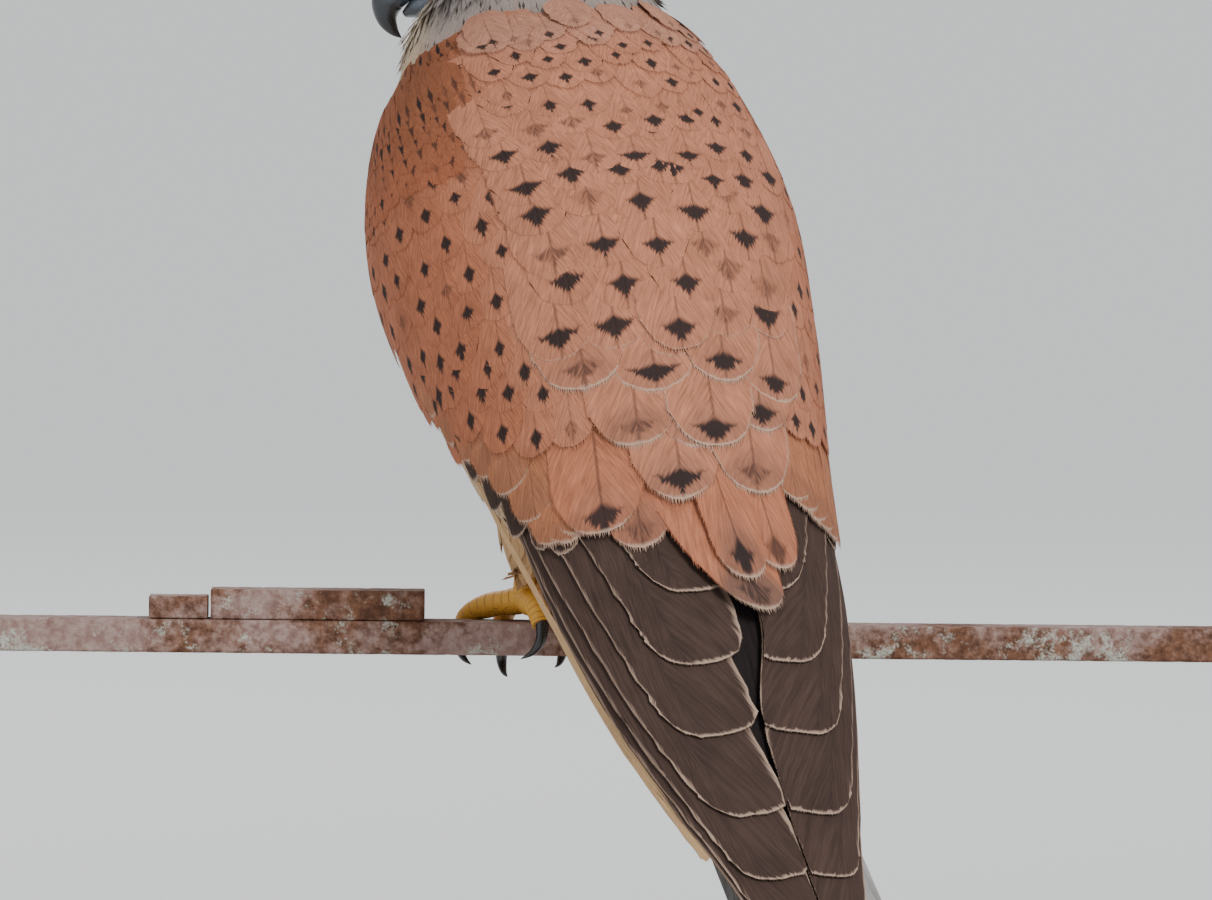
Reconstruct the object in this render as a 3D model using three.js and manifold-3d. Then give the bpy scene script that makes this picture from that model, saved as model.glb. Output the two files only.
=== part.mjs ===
// Common kestrel, adult male, life size, perched on a cut length of rusty bar on a display stand.
// Millimetres, +Z up. Origin: centre of the stand base's underside.
// The bird looks away along +Y, turned towards -X, and its head is turned further to -X.

import * as THREE from 'three';
import { mergeVertices } from 'three/addons/utils/BufferGeometryUtils.js';
import Module from 'manifold-3d';

const wasm = await Module();
wasm.setup();

// Driving sizes of the stand and the perch
const gap = 0.3;
const baseLength = 176;
const baseDepth = 150;
const baseHeight = 12;
const baseCorner = 22;
const baseEdge = 1.6;
const railLength = 284;
const railHeight = 7.5;
const railDepth = 14;
const railEdge = 0.7;
const railTop = 127;
const railShift = -5;
const rodRadius = 4.5;
const rodX = 38;
const collarRadius = 11;
const collarHeight = 5;
const plates = [
  { name: 'stand_perch_plate_long', from: -93.6, length: 48, height: 6.7, depth: 12 },
  { name: 'stand_perch_plate_short', from: -107.5, length: 13.2, height: 5, depth: 11 },
];

// Place and turn of the bird above the middle of the perch
const birdX = -8;
const birdY = 12;
const birdYaw = 30;

// The closed-wing outline: stations from the nape (0) to the wing tips (10)
const axisForward = [44, 31, 18, 5, -10, -26, -45, -68, -92, -115, -137];
const axisUp = [160, 137, 111, 85, 59, 33, 8, -21, -51, -80, -108];
const axisSide = [0, 0, 0, 0, 0, 0, -1, -2.6, -3, -2.6, -2];
const halfWidth = [17, 28.5, 43, 50, 48, 43.5, 39, 32, 20.5, 11, 6];
const backHeight = [17, 26.5, 36, 40, 37, 30, 20.5, 13, 9, 6.5, 4.5];
const breastDepth = [20, 33, 42, 44, 38, 27, 17, 10, 6, 4, 3];

// Layers under that outline
const mantleDepth = 3;
const wingDepth = 6.2;
const mantleEdge = 43;
const wingEdge = 111;
const patchInnerDepth = 4.9;
const patchEnd = 5;
const lobe = { from: 4.1, to: 5.1, inner: 6, outer: 57 };
const neckStation = 1.5;
const torsoEnd = 5.5;
const stationStep = 0.5;
const stationLength = 27;
const angleStep = 12;

// Feathers: sizes across the wing are distances over the outline's surface
const vaneThickness = 0.5;
const vaneStep = 0.82;
const vaneTilt = 0.12;
const rowTilt = 0.19;
const ridgeMargin = { left: -1.2, right: 1.9 };
const outerEdge = { station: [3, 4, 5, 6, 7, 8, 9, 10], angle: [104, 102, 99, 95, 88, 76, 58, 50] };
const flightTips = [6.28, 6.74, 7.2, 7.72, 8.14, 8.5, 8.8, 9.05, 8.85];
const flightRoot = 4.85;
const flightOutermost = 5.4;
const flightSpread = 27.6;
const flightHalfWidth = { inner: 7.4, outer: 4.6 };
const flightInnerWeb = 3;
const greaterTips = [5.72, 5.69, 5.6, 5.44, 5.2, 4.9];
const medianTips = [4.98, 4.94, 4.84, 4.66, 4.38];
const handTips = [5.5, 5.38, 5.22];
const tertials = [{ tip: 5.82, across: 22 }, { tip: 6.12, across: 13.5 }, { tip: 6.44, across: 6.5 }];
const scapularTips = [3.95, 4.42, 4.9, 5.38];
const scapularPitch = 9.6;
const scapularSweep = 0.06;

// Head, turned and pitched in the bird's frame
const headAt = new THREE.Vector3(-1.5, 44, 150);
const headYaw = 50;
const headPitch = 20;
const skull = {
  forward: [-25, -21.5, -13, -4, 5, 11.5, 15.5, 18],
  halfWidth: [7, 13.5, 18.4, 19.8, 18.4, 14.6, 10.6, 6.8],
  top: [7, 13.5, 18.6, 20.2, 19.4, 15.4, 10.8, 6.4],
  bottom: [7, 14, 19, 20.6, 19, 15, 11.2, 7.8],
};
const brow = { height: 1.1, forward: 8, length: 5, angle: 128, spread: 14 };
const neckSeat = { forward: -8, up: -3, radius: 17 };
const neckStep = 15;
const eyeRadius = 5.4;
const eyeAt = { forward: 6.4, side: 12.5, up: 3.6 };
const eyeTurn = 20;
const lidRadius = 6.4;
const lidFrom = 1;
const lidTo = 4.7;
const cere = {
  forward: [18.3, 20, 21.8], up: [1.1, 1, 0.8],
  halfWidth: [6, 5.6, 4.9], halfHeight: [4.9, 4.7, 4.2],
};
const upperBill = {
  forward: [22.1, 25, 27.6, 28.6, 28, 27.1], up: [0.7, -0.2, -2.6, -5.8, -8.8, -10.6],
  halfWidth: [4.8, 4.2, 3.3, 2.2, 1.2, 0.4], halfHeight: [4.4, 4.4, 3.7, 2.5, 1.3, 0.4],
};
const lowerBill = {
  forward: [18.3, 21, 24.2], up: [-5.6, -5.9, -6.2], halfWidth: [4.9, 4.2, 2.6], halfHeight: [2.6, 2.2, 1.4],
};
const gape = [[19, 6.6, -3.4], [14, 11.6, -4.8], [9, 15.8, -6.4]];
const gapeRadii = [0.55, 0.7, 0.3];
const nostril = { forward: 20.2, side: 5.3, up: 2.4, radius: 1 };

// Tail
const tailRoot = { side: 3, forward: -35, up: 14 };
const tailTip = { side: 12, forward: -131, up: -108 };
const tailRank = 6;
const rectrixHalfWidth = 8;
const rectrixFan = 1.25;
const rectrixGraduation = 0.028;
const tailCamber = 0.006;

// Legs and feet: x along the perch, y across it, z above its top
const footX = 14.5;
const shank = [[0, 0.2, 8.8], [0, -1, 14], [0, -2.5, 21], [0, -3.5, 27]];
const shankRadii = [3, 2.6, 2.7, 2.9];
const thighLine = [[1.5, -7, 42], [1, -6, 32], [0, -4.4, 22], [0, -0.8, 11.5]];
const thighRadii = [13, 11.5, 8.6, 4.8];
const toes = [
  { name: 'outer', points: [[-4, 2.5, 4.2], [-9, 5.6, 3.2], [-13.5, 8.4, 0.6], [-15.2, 10.2, -3.6]] },
  { name: 'middle', points: [[-1.5, 4, 4.4], [-4, 8.6, 3.4], [-5.6, 11, -0.8], [-5.8, 11.2, -6]] },
  { name: 'inner', points: [[2.5, 4, 4.2], [5.6, 7.8, 3.2], [7.6, 10.6, -0.2], [8, 11, -4]] },
  { name: 'hind', points: [[0.6, -3, 4.4], [2.4, -7.4, 3.2], [3.4, -9.9, -0.2]] },
];
const toeRadii = [3.2, 2.8, 2.6, 2.2, 1.9];
const clawRadii = [1.55, 1.15, 0.7, 0.25];
const claws = {
  outer: [[-15.6, 10.8, -4.4], [-15.3, 11, -6.8], [-14.2, 10, -9.1], [-12.6, 8.4, -10.4]],
  middle: [[-5.8, 11.3, -6.6], [-5.7, 11.2, -9.6], [-5.2, 9.6, -12], [-4.4, 7.4, -13]],
  inner: [[8, 11.1, -4.6], [8, 11, -7.4], [7.4, 9.6, -9.8], [6.4, 7.6, -10.8]],
  hind: [[3.6, -10.3, -0.8], [3.2, -11.2, -3.6], [1.4, -10.9, -6.4], [-1.2, -9.4, -8]],
};

const colours = {
  chestnut: 0xb97555, brown: 0x54443f, grey: 0x8d9096, tailGrey: 0x9a9da3, buff: 0xd9bd97, yellow: 0xd9a022,
  slate: 0x4a5260, black: 0x15130f, eye: 0x1d120c, wood: 0x4a2c1a, steel: 0xa9abad, rust: 0x7a4c3b,
};

function paint(colour, roughness = 0.8, metalness = 0) {
  return new THREE.MeshStandardMaterial({ color: colours[colour], roughness, metalness });
}

// Smooth curve through a row of station values
function along(values, station) {
  const last = values.length - 1;
  const s = Math.min(Math.max(station, 0), last - 1e-9);
  const i = Math.floor(s);
  const f = s - i;
  const a = values[Math.max(i - 1, 0)];
  const b = values[i];
  const c = values[i + 1];
  const d = values[Math.min(i + 2, last)];
  return 0.5 * (2 * b + (c - a) * f + (2 * a - 5 * b + 4 * c - d) * f * f + (3 * b - a - 3 * c + d) * f ** 3);
}

function ramp(x, from, to) {
  const t = Math.min(Math.max((x - from) / (to - from), 0), 1);
  return t * t * (3 - 2 * t);
}

function mix(a, b, t) {
  return a + (b - a) * t;
}

// Value of a broken line through named stations
function broken(stations, values, at) {
  let i = 0;
  while (i < stations.length - 2 && at > stations[i + 1]) {
    i += 1;
  }
  return mix(values[i], values[i + 1], (at - stations[i]) / (stations[i + 1] - stations[i]));
}

// Axis point and the outward directions of the outline at a station
function axisFrame(station) {
  const before = Math.max(station - 0.02, 0);
  const after = Math.min(station + 0.02, axisUp.length - 1);
  const forward = along(axisForward, after) - along(axisForward, before);
  const up = along(axisUp, after) - along(axisUp, before);
  const length = Math.hypot(forward, up);
  return {
    forward: along(axisForward, station), up: along(axisUp, station),
    backForward: up / length, backUp: -forward / length,
  };
}

// Point of the outline: angle 0 is the middle of the back, +90 the bird's right side, 180 the breast
function outline(station, angle, lift = 0) {
  const frame = axisFrame(station);
  const a = THREE.MathUtils.degToRad(angle);
  const high = Math.abs(angle) <= 90 ? along(backHeight, station) : along(breastDepth, station);
  const out = (high + lift) * Math.cos(a);
  return new THREE.Vector3(
    along(axisSide, station) + (along(halfWidth, station) + lift) * Math.sin(a),
    frame.forward + frame.backForward * out,
    frame.up + frame.backUp * out,
  );
}

// Distance over the surface from the middle of the back to an angle, and its inverse
const arcStep = 2;
function arcTo(station, angle) {
  let sum = 0;
  let from = outline(station, 0);
  for (let a = arcStep; a <= angle + 1e-6; a += arcStep) {
    const to = outline(station, a);
    sum += to.distanceTo(from);
    from = to;
  }
  return sum;
}

function angleAt(station, distance) {
  let left = Math.abs(distance);
  let from = outline(station, 0);
  for (let a = arcStep; a < 180; a += arcStep) {
    const to = outline(station, a);
    const step = to.distanceTo(from);
    if (step >= left) {
      return Math.sign(distance) * (a - arcStep + arcStep * left / step);
    }
    left -= step;
    from = to;
  }
  return 180;
}

// Closed solids from lists of points and triangles
function toSolid(geometry) {
  const bare = geometry.clone();
  bare.deleteAttribute('normal');
  bare.deleteAttribute('uv');
  const merged = mergeVertices(bare, 1e-5);
  const solid = new wasm.Manifold(new wasm.Mesh({
    numProp: 3,
    vertProperties: new Float32Array(merged.attributes.position.array),
    triVerts: new Uint32Array(merged.index.array),
  }));
  return solid;
}

function fromPoints(points, triangles) {
  const geometry = new THREE.BufferGeometry();
  const numbers = points.flatMap((p) => [p.x, p.y, p.z]);
  geometry.setAttribute('position', new THREE.Float32BufferAttribute(numbers, 3));
  geometry.setIndex(triangles.flat());
  let volume = 0;
  for (const [a, b, c] of triangles) {
    volume += points[a].dot(points[b].clone().cross(points[c]));
  }
  if (volume < 0) {
    geometry.setIndex(triangles.map(([a, b, c]) => [a, c, b]).flat());
  }
  return geometry;
}

function largest(solid) {
  return solid.decompose().sort((a, b) => b.volume() - a.volume())[0];
}

function unite(solids) {
  return solids.reduce((sum, next) => sum.add(next));
}

function toGeometry(solid) {
  const mesh = solid.getMesh();
  const geometry = new THREE.BufferGeometry();
  const positions = new Float32Array(mesh.numVert * 3);
  for (let i = 0; i < mesh.numVert; i += 1) {
    for (let k = 0; k < 3; k += 1) {
      positions[3 * i + k] = mesh.vertProperties[i * mesh.numProp + k];
    }
  }
  geometry.setAttribute('position', new THREE.BufferAttribute(positions, 3));
  geometry.setIndex(new THREE.BufferAttribute(new Uint32Array(mesh.triVerts), 1));
  geometry.computeVertexNormals();
  return geometry;
}

// Solid skinned over closed rings of points, with a cap at each end
function loft(rings) {
  const count = rings[0].length;
  const points = rings.flat();
  const triangles = [];
  for (let i = 0; i < rings.length - 1; i += 1) {
    for (let j = 0; j < count; j += 1) {
      const a = i * count + j;
      const b = i * count + (j + 1) % count;
      triangles.push([a, b, b + count], [a, b + count, a + count]);
    }
  }
  for (const [ring, end] of [[rings[0], 0], [rings[rings.length - 1], 1]]) {
    const middle = points.length;
    points.push(ring.reduce((sum, p) => sum.add(p), new THREE.Vector3()).divideScalar(count));
    const first = end ? (rings.length - 1) * count : 0;
    for (let j = 0; j < count; j += 1) {
      const a = first + j;
      const b = first + (j + 1) % count;
      triangles.push(end ? [a, b, middle] : [b, a, middle]);
    }
  }
  return toSolid(fromPoints(points, triangles));
}

// Slab between two grids of points, split into triangles alike on both faces
function slab(upper, lower) {
  const rows = upper.length;
  const columns = upper[0].length;
  const points = [...upper.flat(), ...lower.flat()];
  const under = rows * columns;
  const triangles = [];
  for (let i = 0; i < rows - 1; i += 1) {
    for (let j = 0; j < columns - 1; j += 1) {
      const a = i * columns + j;
      const b = a + 1;
      const c = a + columns;
      const d = c + 1;
      triangles.push([a, b, d], [a, d, c]);
      triangles.push([a + under, d + under, b + under], [a + under, c + under, d + under]);
    }
  }
  const rim = [];
  for (let j = 0; j < columns - 1; j += 1) {
    rim.push(j);
  }
  for (let i = 0; i < rows - 1; i += 1) {
    rim.push(i * columns + columns - 1);
  }
  for (let j = columns - 1; j > 0; j -= 1) {
    rim.push((rows - 1) * columns + j);
  }
  for (let i = rows - 1; i > 0; i -= 1) {
    rim.push(i * columns);
  }
  rim.forEach((a, k) => {
    const b = rim[(k + 1) % rim.length];
    triangles.push([b, a, a + under], [b, a + under, b + under]);
  });
  return toSolid(fromPoints(points, triangles));
}

// Tapered round rod through points, with a radius at each
function limb(points, radii, sides = 8) {
  const path = new THREE.CatmullRomCurve3(points);
  const steps = (points.length - 1) * 2;
  const frames = path.computeFrenetFrames(steps, false);
  const rings = [];
  for (let i = 0; i <= steps; i += 1) {
    const at = path.getPoint(i / steps);
    const radius = along(radii, i / steps * (radii.length - 1));
    const ring = [];
    for (let j = 0; j < sides; j += 1) {
      const a = 2 * Math.PI * j / sides;
      ring.push(at.clone()
        .addScaledVector(frames.normals[i], radius * Math.cos(a))
        .addScaledVector(frames.binormals[i], radius * Math.sin(a)));
    }
    rings.push(ring);
  }
  return loft(rings);
}

function ball(at, radii, around = 16, down = 10) {
  const geometry = new THREE.SphereGeometry(1, around, down);
  geometry.scale(radii.x, radii.y, radii.z);
  geometry.translate(at.x, at.y, at.z);
  return toSolid(geometry);
}

// Torso inset below the outline, deeper where the mantle and the wings lie on it
function torsoInset(station, angle) {
  const a = Math.abs(angle);
  const lower = 8 * ramp(station, 4, 4.7);
  const inner = ramp(a, mantleEdge - 8, mantleEdge - 1);
  const wing = inner * (1 - ramp(a, wingEdge - 17 + lower, wingEdge + 2 + lower));
  const tertial = ramp(station, 3.5, 3.95) * (1 - ramp(a, mantleEdge - 8, mantleEdge));
  const back = mantleDepth * (1 - ramp(a, mantleEdge - 4, mantleEdge + 4));
  const inset = Math.max(wing * wingDepth, back, tertial * wingDepth);
  return inset + gap;
}

function torsoSolid(grow) {
  const rings = [];
  for (let station = neckStation; station <= torsoEnd; station += stationStep) {
    const close = 11 * ramp(station, torsoEnd - 0.75, torsoEnd);
    const ring = [];
    for (let angle = -180; angle < 180; angle += angleStep) {
      const end = station === torsoEnd ? grow / stationLength : 0;
      ring.push(outline(station + end, angle, grow - torsoInset(station, angle) - close));
    }
    rings.push(ring);
  }
  return loft(rings);
}

// Steps of the torso's own grid between two ends, so that what lies on it has faces parallel to its own
function gridSteps(from, to, step) {
  const first = Math.ceil((from + 0.2 * step) / step) * step;
  const values = [from];
  for (let value = first; value < to - 0.2 * step; value += step) {
    values.push(value);
  }
  return [...values, to];
}

// Grid of outline points over a stretch of stations and angles
function outlineGrid(stations, angles, lift) {
  return stations.map((station) => angles.map((angle) => outline(station, angle, lift(station, angle))));
}

function spaced(from, to, steps) {
  return Array.from({ length: steps + 1 }, (_, i) => mix(from, to, i / steps));
}

// One feather on the outline: root and tip stations, its centre line's distance from the ridge, and its lift
const longVane = {
  rows: [0, 0.35, 0.78, 0.94, 0.99], shape: [0.3, 0.9, 1, 0.88, 0.45], inner: [0.4, 0.8, 1, 1, 1],
  columns: [-1, 0, 1],
};
const shortVane = {
  rows: [0, 0.5, 0.85, 1], shape: [0.5, 1, 0.85, 0.34], inner: [1, 1, 1, 1],
  columns: [-1, 1],
};
function vane({ side, root, tip, across, halfWidth, innerWeb = 1, lift, tilt, free, form = shortVane }) {
  const upper = [];
  const lower = [];
  form.rows.forEach((t, row) => {
    const last = row === form.rows.length - 1;
    const rows = form.columns.map((column) => {
      const station = mix(root, tip, last && column === 0 ? 1 : t);
      const web = column < 0 ? mix(1, innerWeb, form.inner[row]) : 1;
      const reach = across(station) + column * web * halfWidth * form.shape[row];
      const margin = side < 0 ? ridgeMargin.left : ridgeMargin.right;
      const distance = free ? reach : Math.max(reach, margin + 0.15 * column);
      const at = lift(station) + tilt * (distance - across(station));
      const half = 0.5 * vaneThickness * (last ? 0.7 : 1);
      const angle = angleAt(station, distance) * side;
      return [outline(station, angle, at + half), outline(station, angle, at - half)];
    });
    upper.push(rows.map((pair) => pair[0]));
    lower.push(rows.map((pair) => pair[1]));
  });
  return slab(upper, lower);
}

function outerDistance(station) {
  return arcTo(station, broken(outerEdge.station, outerEdge.angle, station));
}

// Mantle and scapulars: a patch over the back, with tiers of feathers in its lower half
function mantleSolid() {
  const stations = gridSteps(neckStation, 4.8, stationStep);
  const angles = gridSteps(-mantleEdge, mantleEdge, angleStep);
  const top = (station, angle) => -2.4 * ramp(station, 4.2, 4.8) * ramp(Math.abs(angle), 24, 40);
  const patch = slab(outlineGrid(stations, angles, top), outlineGrid(stations, angles, () => -mantleDepth));
  const feathers = [];
  scapularTips.forEach((tip, row) => {
    for (let n = -3; n <= 2; n += 1) {
      const place = (n + (row % 2 ? 0 : 0.5)) * scapularPitch;
      if (Math.abs(place) < 2.6 * scapularPitch) {
        const end = tip - scapularSweep * (place / scapularPitch) ** 2;
        const over = place >= 0 && place < scapularPitch ? 0.6 : 0;
        feathers.push(vane({
          side: 1, root: end - 0.78, tip: end, across: () => place, halfWidth: 7, free: true,
          lift: (s) => mix(-1.3, 0.95 + over, ramp(s, end - 0.8, end - 0.3)), tilt: 0.105 * Math.sign(place),
        }));
      }
    }
  });
  return largest(unite([patch, ...feathers]));
}

// Lift of a flight feather: each lies under the one inside it, and rises again past that one's tip
function flightPlace(index) {
  const last = flightTips.length - 1;
  return flightOutermost + flightSpread * ((last - index) / last) ** 2.5;
}

function flightLift(index, station) {
  let drop = 0;
  for (let i = 0; i < index; i += 1) {
    const step = vaneStep - vaneTilt * (flightPlace(i) - flightPlace(i + 1));
    drop += step * (1 - ramp(station, flightTips[i] + 0.04, flightTips[i] + 0.5));
  }
  return mix(-2, -0.5, ramp(station, 5.5, 6.6)) - drop * mix(0.85, 1, ramp(station, 5.2, 6));
}

function wingSolid(side) {
  const patchStations = gridSteps(neckStation, patchEnd, stationStep);
  const turned = (angles) => (side > 0 ? angles : angles.map((angle) => -angle).reverse());
  const patchAngles = turned(gridSteps(mantleEdge + 0.8, wingEdge, angleStep));
  const top = (station, angle) => 0.6 * ramp(Math.abs(angle), 90, 104) - 3.2 * ramp(station, 4.5, 5);
  const under = (station, angle) => {
    const most = Math.abs(angle) < mantleEdge + 2 ? patchInnerDepth : wingDepth;
    return -Math.min(torsoInset(station, angle) - gap, most);
  };
  const patch = slab(
    outlineGrid(patchStations, patchAngles, top),
    outlineGrid(patchStations, patchAngles, under),
  );
  const lobeStations = gridSteps(lobe.from, lobe.to, stationStep);
  const lobeAngles = turned(gridSteps(lobe.inner, lobe.outer, angleStep));
  const lobeSolid = slab(
    outlineGrid(lobeStations, lobeAngles, () => -mantleDepth - 1),
    outlineGrid(lobeStations, lobeAngles, () => -wingDepth + 0.1),
  );
  const vanes = [];
  flightTips.forEach((tip, index) => {
    const share = index / (flightTips.length - 1);
    vanes.push(vane({
      side, root: flightRoot, tip, across: (s) => outerDistance(s) - flightPlace(index),
      halfWidth: mix(flightHalfWidth.inner, flightHalfWidth.outer, share), innerWeb: flightInnerWeb,
      lift: (s) => flightLift(index, s), tilt: vaneTilt, form: longVane,
    }));
  });
  tertials.forEach(({ tip, across }) => {
    vanes.push(vane({
      side, root: 4.4, tip, across: () => across, halfWidth: 8.6, form: longVane,
      lift: (s) => mix(-wingDepth + 1.3, 0.2, ramp(s, 4.85, tip - 0.1)) + 0.03 * (13 - across), tilt: 0.1,
    }));
  });
  greaterTips.forEach((tip, index) => {
    const tucked = index < 2;
    const rise = (station) => ramp(station, tucked ? 5 : tip - 0.95, tip - 0.4);
    vanes.push(vane({
      side, root: tip - 0.95, tip, across: () => 28 + 5.8 * index, halfWidth: 4.7,
      lift: (s) => mix(tucked ? -4.4 : -2.6, 0.1 * index - 0.2, rise(s)), tilt: rowTilt,
    }));
  });
  medianTips.forEach((tip, index) => {
    vanes.push(vane({
      side, root: tip - 0.85, tip, across: () => 39.5 + 5.6 * index, halfWidth: 4.7,
      lift: (s) => mix(-1.6, 1, ramp(s, tip - 0.85, tip - 0.35)), tilt: rowTilt,
    }));
  });
  handTips.forEach((tip, index) => {
    vanes.push(vane({
      side, root: tip - 1.2, tip, across: (s) => outerDistance(s) - 3.5 - 3.2 * index, halfWidth: 3.6,
      lift: (s) => mix(-3, -1.2, ramp(s, tip - 1.2, tip - 0.5)) + 0.3 * index, tilt: vaneTilt,
    }));
  });
  return largest(unite([patch, lobeSolid, ...vanes]));
}

// Head frame: forward along the bill, side to the bird's right, up through the crown
const yaw = THREE.MathUtils.degToRad(headYaw);
const pitch = THREE.MathUtils.degToRad(headPitch);
const level = new THREE.Vector3(-Math.sin(yaw), Math.cos(yaw), 0);
const upright = new THREE.Vector3(0, 0, 1);
const headForward = level.clone().multiplyScalar(Math.cos(pitch)).addScaledVector(upright, -Math.sin(pitch));
const headUp = level.clone().multiplyScalar(Math.sin(pitch)).addScaledVector(upright, Math.cos(pitch));
const headSide = new THREE.Vector3(Math.cos(yaw), Math.sin(yaw), 0);

function headPoint(forward, side, up) {
  return headAt.clone()
    .addScaledVector(headForward, forward)
    .addScaledVector(headSide, side)
    .addScaledVector(headUp, up);
}

function skullSolid(grow) {
  const rings = [];
  const last = skull.forward.length - 1;
  const steps = 12;
  for (let i = 0; i <= steps; i += 1) {
    const s = last * i / steps;
    const forward = along(skull.forward, s) + (i === 0 ? -grow : i === steps ? grow : 0);
    rings.push(spaced(0, 342, 19).map((angle) => {
      const a = THREE.MathUtils.degToRad(angle);
      const offBrow = (Math.abs(180 - angle) - brow.angle) / brow.spread;
      const alongBrow = (forward - brow.forward) / brow.length;
      const ridge = brow.height * Math.exp(-(alongBrow ** 2) - offBrow * offBrow);
      const high = Math.cos(a) > 0 ? along(skull.top, s) : along(skull.bottom, s);
      return headPoint(
        forward,
        (along(skull.halfWidth, s) + grow + ridge) * Math.sin(a),
        (high + grow + 0.4 * ridge) * Math.cos(a),
      );
    }));
  }
  return loft(rings);
}

// Neck: from the outline's first stations up into the back of the head
function neckSolid(headGrown) {
  const angles = spaced(-180, 180 - neckStep, 360 / neckStep - 1);
  const stations = [neckStation - gap / stationLength, 1.2, 0.9];
  const lower = stations.map((station) => angles.map((angle) => outline(station, angle)));
  const back = new THREE.Vector3(0, -1, 0).projectOnPlane(headUp).normalize();
  const across = headUp.clone().cross(back).negate();
  const seatMiddle = headPoint(neckSeat.forward, 0, neckSeat.up);
  const seat = angles.map((angle) => {
    const a = THREE.MathUtils.degToRad(angle);
    return seatMiddle.clone()
      .addScaledVector(back, neckSeat.radius * Math.cos(a))
      .addScaledVector(across, neckSeat.radius * Math.sin(a));
  });
  const middle = angles.map((angle, k) => outline(0.6, angle, 1.5).lerp(seat[k], 0.36));
  return largest(loft([...lower, middle, seat]).subtract(headGrown));
}

// Rod of oval sections in the head's middle plane
function horn({ forward, up, halfWidth, halfHeight }, grow = 0, steps = 2, sides = 12) {
  const rings = [];
  const last = (forward.length - 1) * steps;
  for (let i = 0; i <= last; i += 1) {
    const s = i / steps;
    const slope = Math.atan2(
      along(up, s + 0.05) - along(up, s - 0.05),
      along(forward, s + 0.05) - along(forward, s - 0.05),
    );
    rings.push(spaced(0, 360 - 360 / sides, sides - 1).map((angle) => {
      const a = THREE.MathUtils.degToRad(angle);
      const high = (along(halfHeight, s) + grow) * Math.cos(a);
      const wide = (along(halfWidth, s) + grow) * Math.sin(a);
      return headPoint(along(forward, s) - high * Math.sin(slope), wide, along(up, s) + high * Math.cos(slope));
    }));
  }
  return loft(rings);
}

// Ring or disc about an eye's own axis, from an outline of [radius, height above the eye's middle] pairs
function roundAtEye(side, profile, around = 16) {
  const geometry = new THREE.LatheGeometry(profile.map(([r, h]) => new THREE.Vector2(r, h)), around);
  const turn = THREE.MathUtils.degToRad(eyeTurn);
  const axis = headSide.clone().multiplyScalar(side * Math.cos(turn));
  axis.addScaledVector(headForward, Math.sin(turn));
  const flat = headUp.clone().cross(axis).normalize();
  geometry.applyMatrix4(new THREE.Matrix4().makeBasis(flat, axis, flat.clone().cross(axis)));
  const at = headPoint(eyeAt.forward, side * eyeAt.side, eyeAt.up);
  geometry.translate(at.x, at.y, at.z);
  return toSolid(geometry);
}

function eyeBall(side, grow) {
  const r = eyeRadius + grow;
  return ball(headPoint(eyeAt.forward, side * eyeAt.side, eyeAt.up), { x: r, y: r, z: r }, 14, 10);
}

function headSolids() {
  let head = skullSolid(0);
  const parts = {};
  for (const [name, side] of [['right', 1], ['left', -1]]) {
    const low = lidFrom - gap;
    const high = lidTo + 4;
    const seat = [[0, low], [lidRadius + gap, low], [lidRadius + gap, high], [0, high]];
    const rim = [
      [5.8, lidFrom], [lidRadius, lidFrom], [lidRadius, lidTo - 1.2], [lidRadius - 0.6, lidTo - 0.3],
      [4.9, lidTo], [4, lidTo - 0.3], [4.5, lidTo - 1.1], [5.8, lidFrom],
    ];
    head = head.subtract(eyeBall(side, gap)).subtract(roundAtEye(side, seat));
    const mouth = gape.map(([forward, out, up]) => headPoint(forward, side * out, up));
    head = head.subtract(limb(mouth, gapeRadii, 6));
    parts[`eye_${name}`] = eyeBall(side, 0);
    parts[`eyelids_${name}`] = roundAtEye(side, rim);
  }
  let cereBand = horn(cere);
  for (const side of [1, -1]) {
    const at = headPoint(nostril.forward, side * nostril.side, nostril.up);
    cereBand = cereBand.subtract(ball(at, { x: nostril.radius, y: nostril.radius, z: nostril.radius }, 8, 6));
  }
  parts.head = largest(head);
  parts.cere = largest(cereBand);
  parts.bill_upper = largest(horn(upperBill).subtract(horn(cere, gap)));
  parts.bill_lower = largest(horn(lowerBill, 0, 1).subtract(horn(upperBill, gap)).subtract(horn(cere, gap)));
  return parts;
}

// Tail frame: down the tail, across it, and out of its upper face
const tailStart = new THREE.Vector3(tailRoot.side, tailRoot.forward, tailRoot.up);
const tailDown = new THREE.Vector3(tailTip.side, tailTip.forward, tailTip.up).sub(tailStart);
const tailLength = tailDown.length();
tailDown.normalize();
const tailOut = new THREE.Vector3(1, 0, 0).cross(tailDown).negate().normalize();
const tailAcross = tailDown.clone().cross(tailOut);

function tailPoint(down, across, lift) {
  return tailStart.clone()
    .addScaledVector(tailDown, down * tailLength)
    .addScaledVector(tailAcross, across)
    .addScaledVector(tailOut, lift - tailCamber * across * across);
}

function tailVane({ root, tip, centre, fan, halfWidth, lift, inner, form = shortVane }) {
  const upper = [];
  const lower = [];
  form.rows.forEach((t, row) => {
    const last = row === form.rows.length - 1;
    const pairs = form.columns.map((column) => {
      const down = mix(root, tip, last && column === 0 ? 1 : t);
      const across = centre + fan * t + column * halfWidth * Math.min(1, form.shape[row] + 0.12);
      const kept = inner ? Math.sign(centre) * Math.max(Math.sign(centre) * across, inner) : across;
      const half = 0.5 * vaneThickness * (last ? 0.7 : 1);
      const at = lift(down);
      return [tailPoint(down, kept, at + half), tailPoint(down, kept, at - half)];
    });
    upper.push(pairs.map((pair) => pair[0]));
    lower.push(pairs.map((pair) => pair[1]));
  });
  return slab(upper, lower);
}

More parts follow.
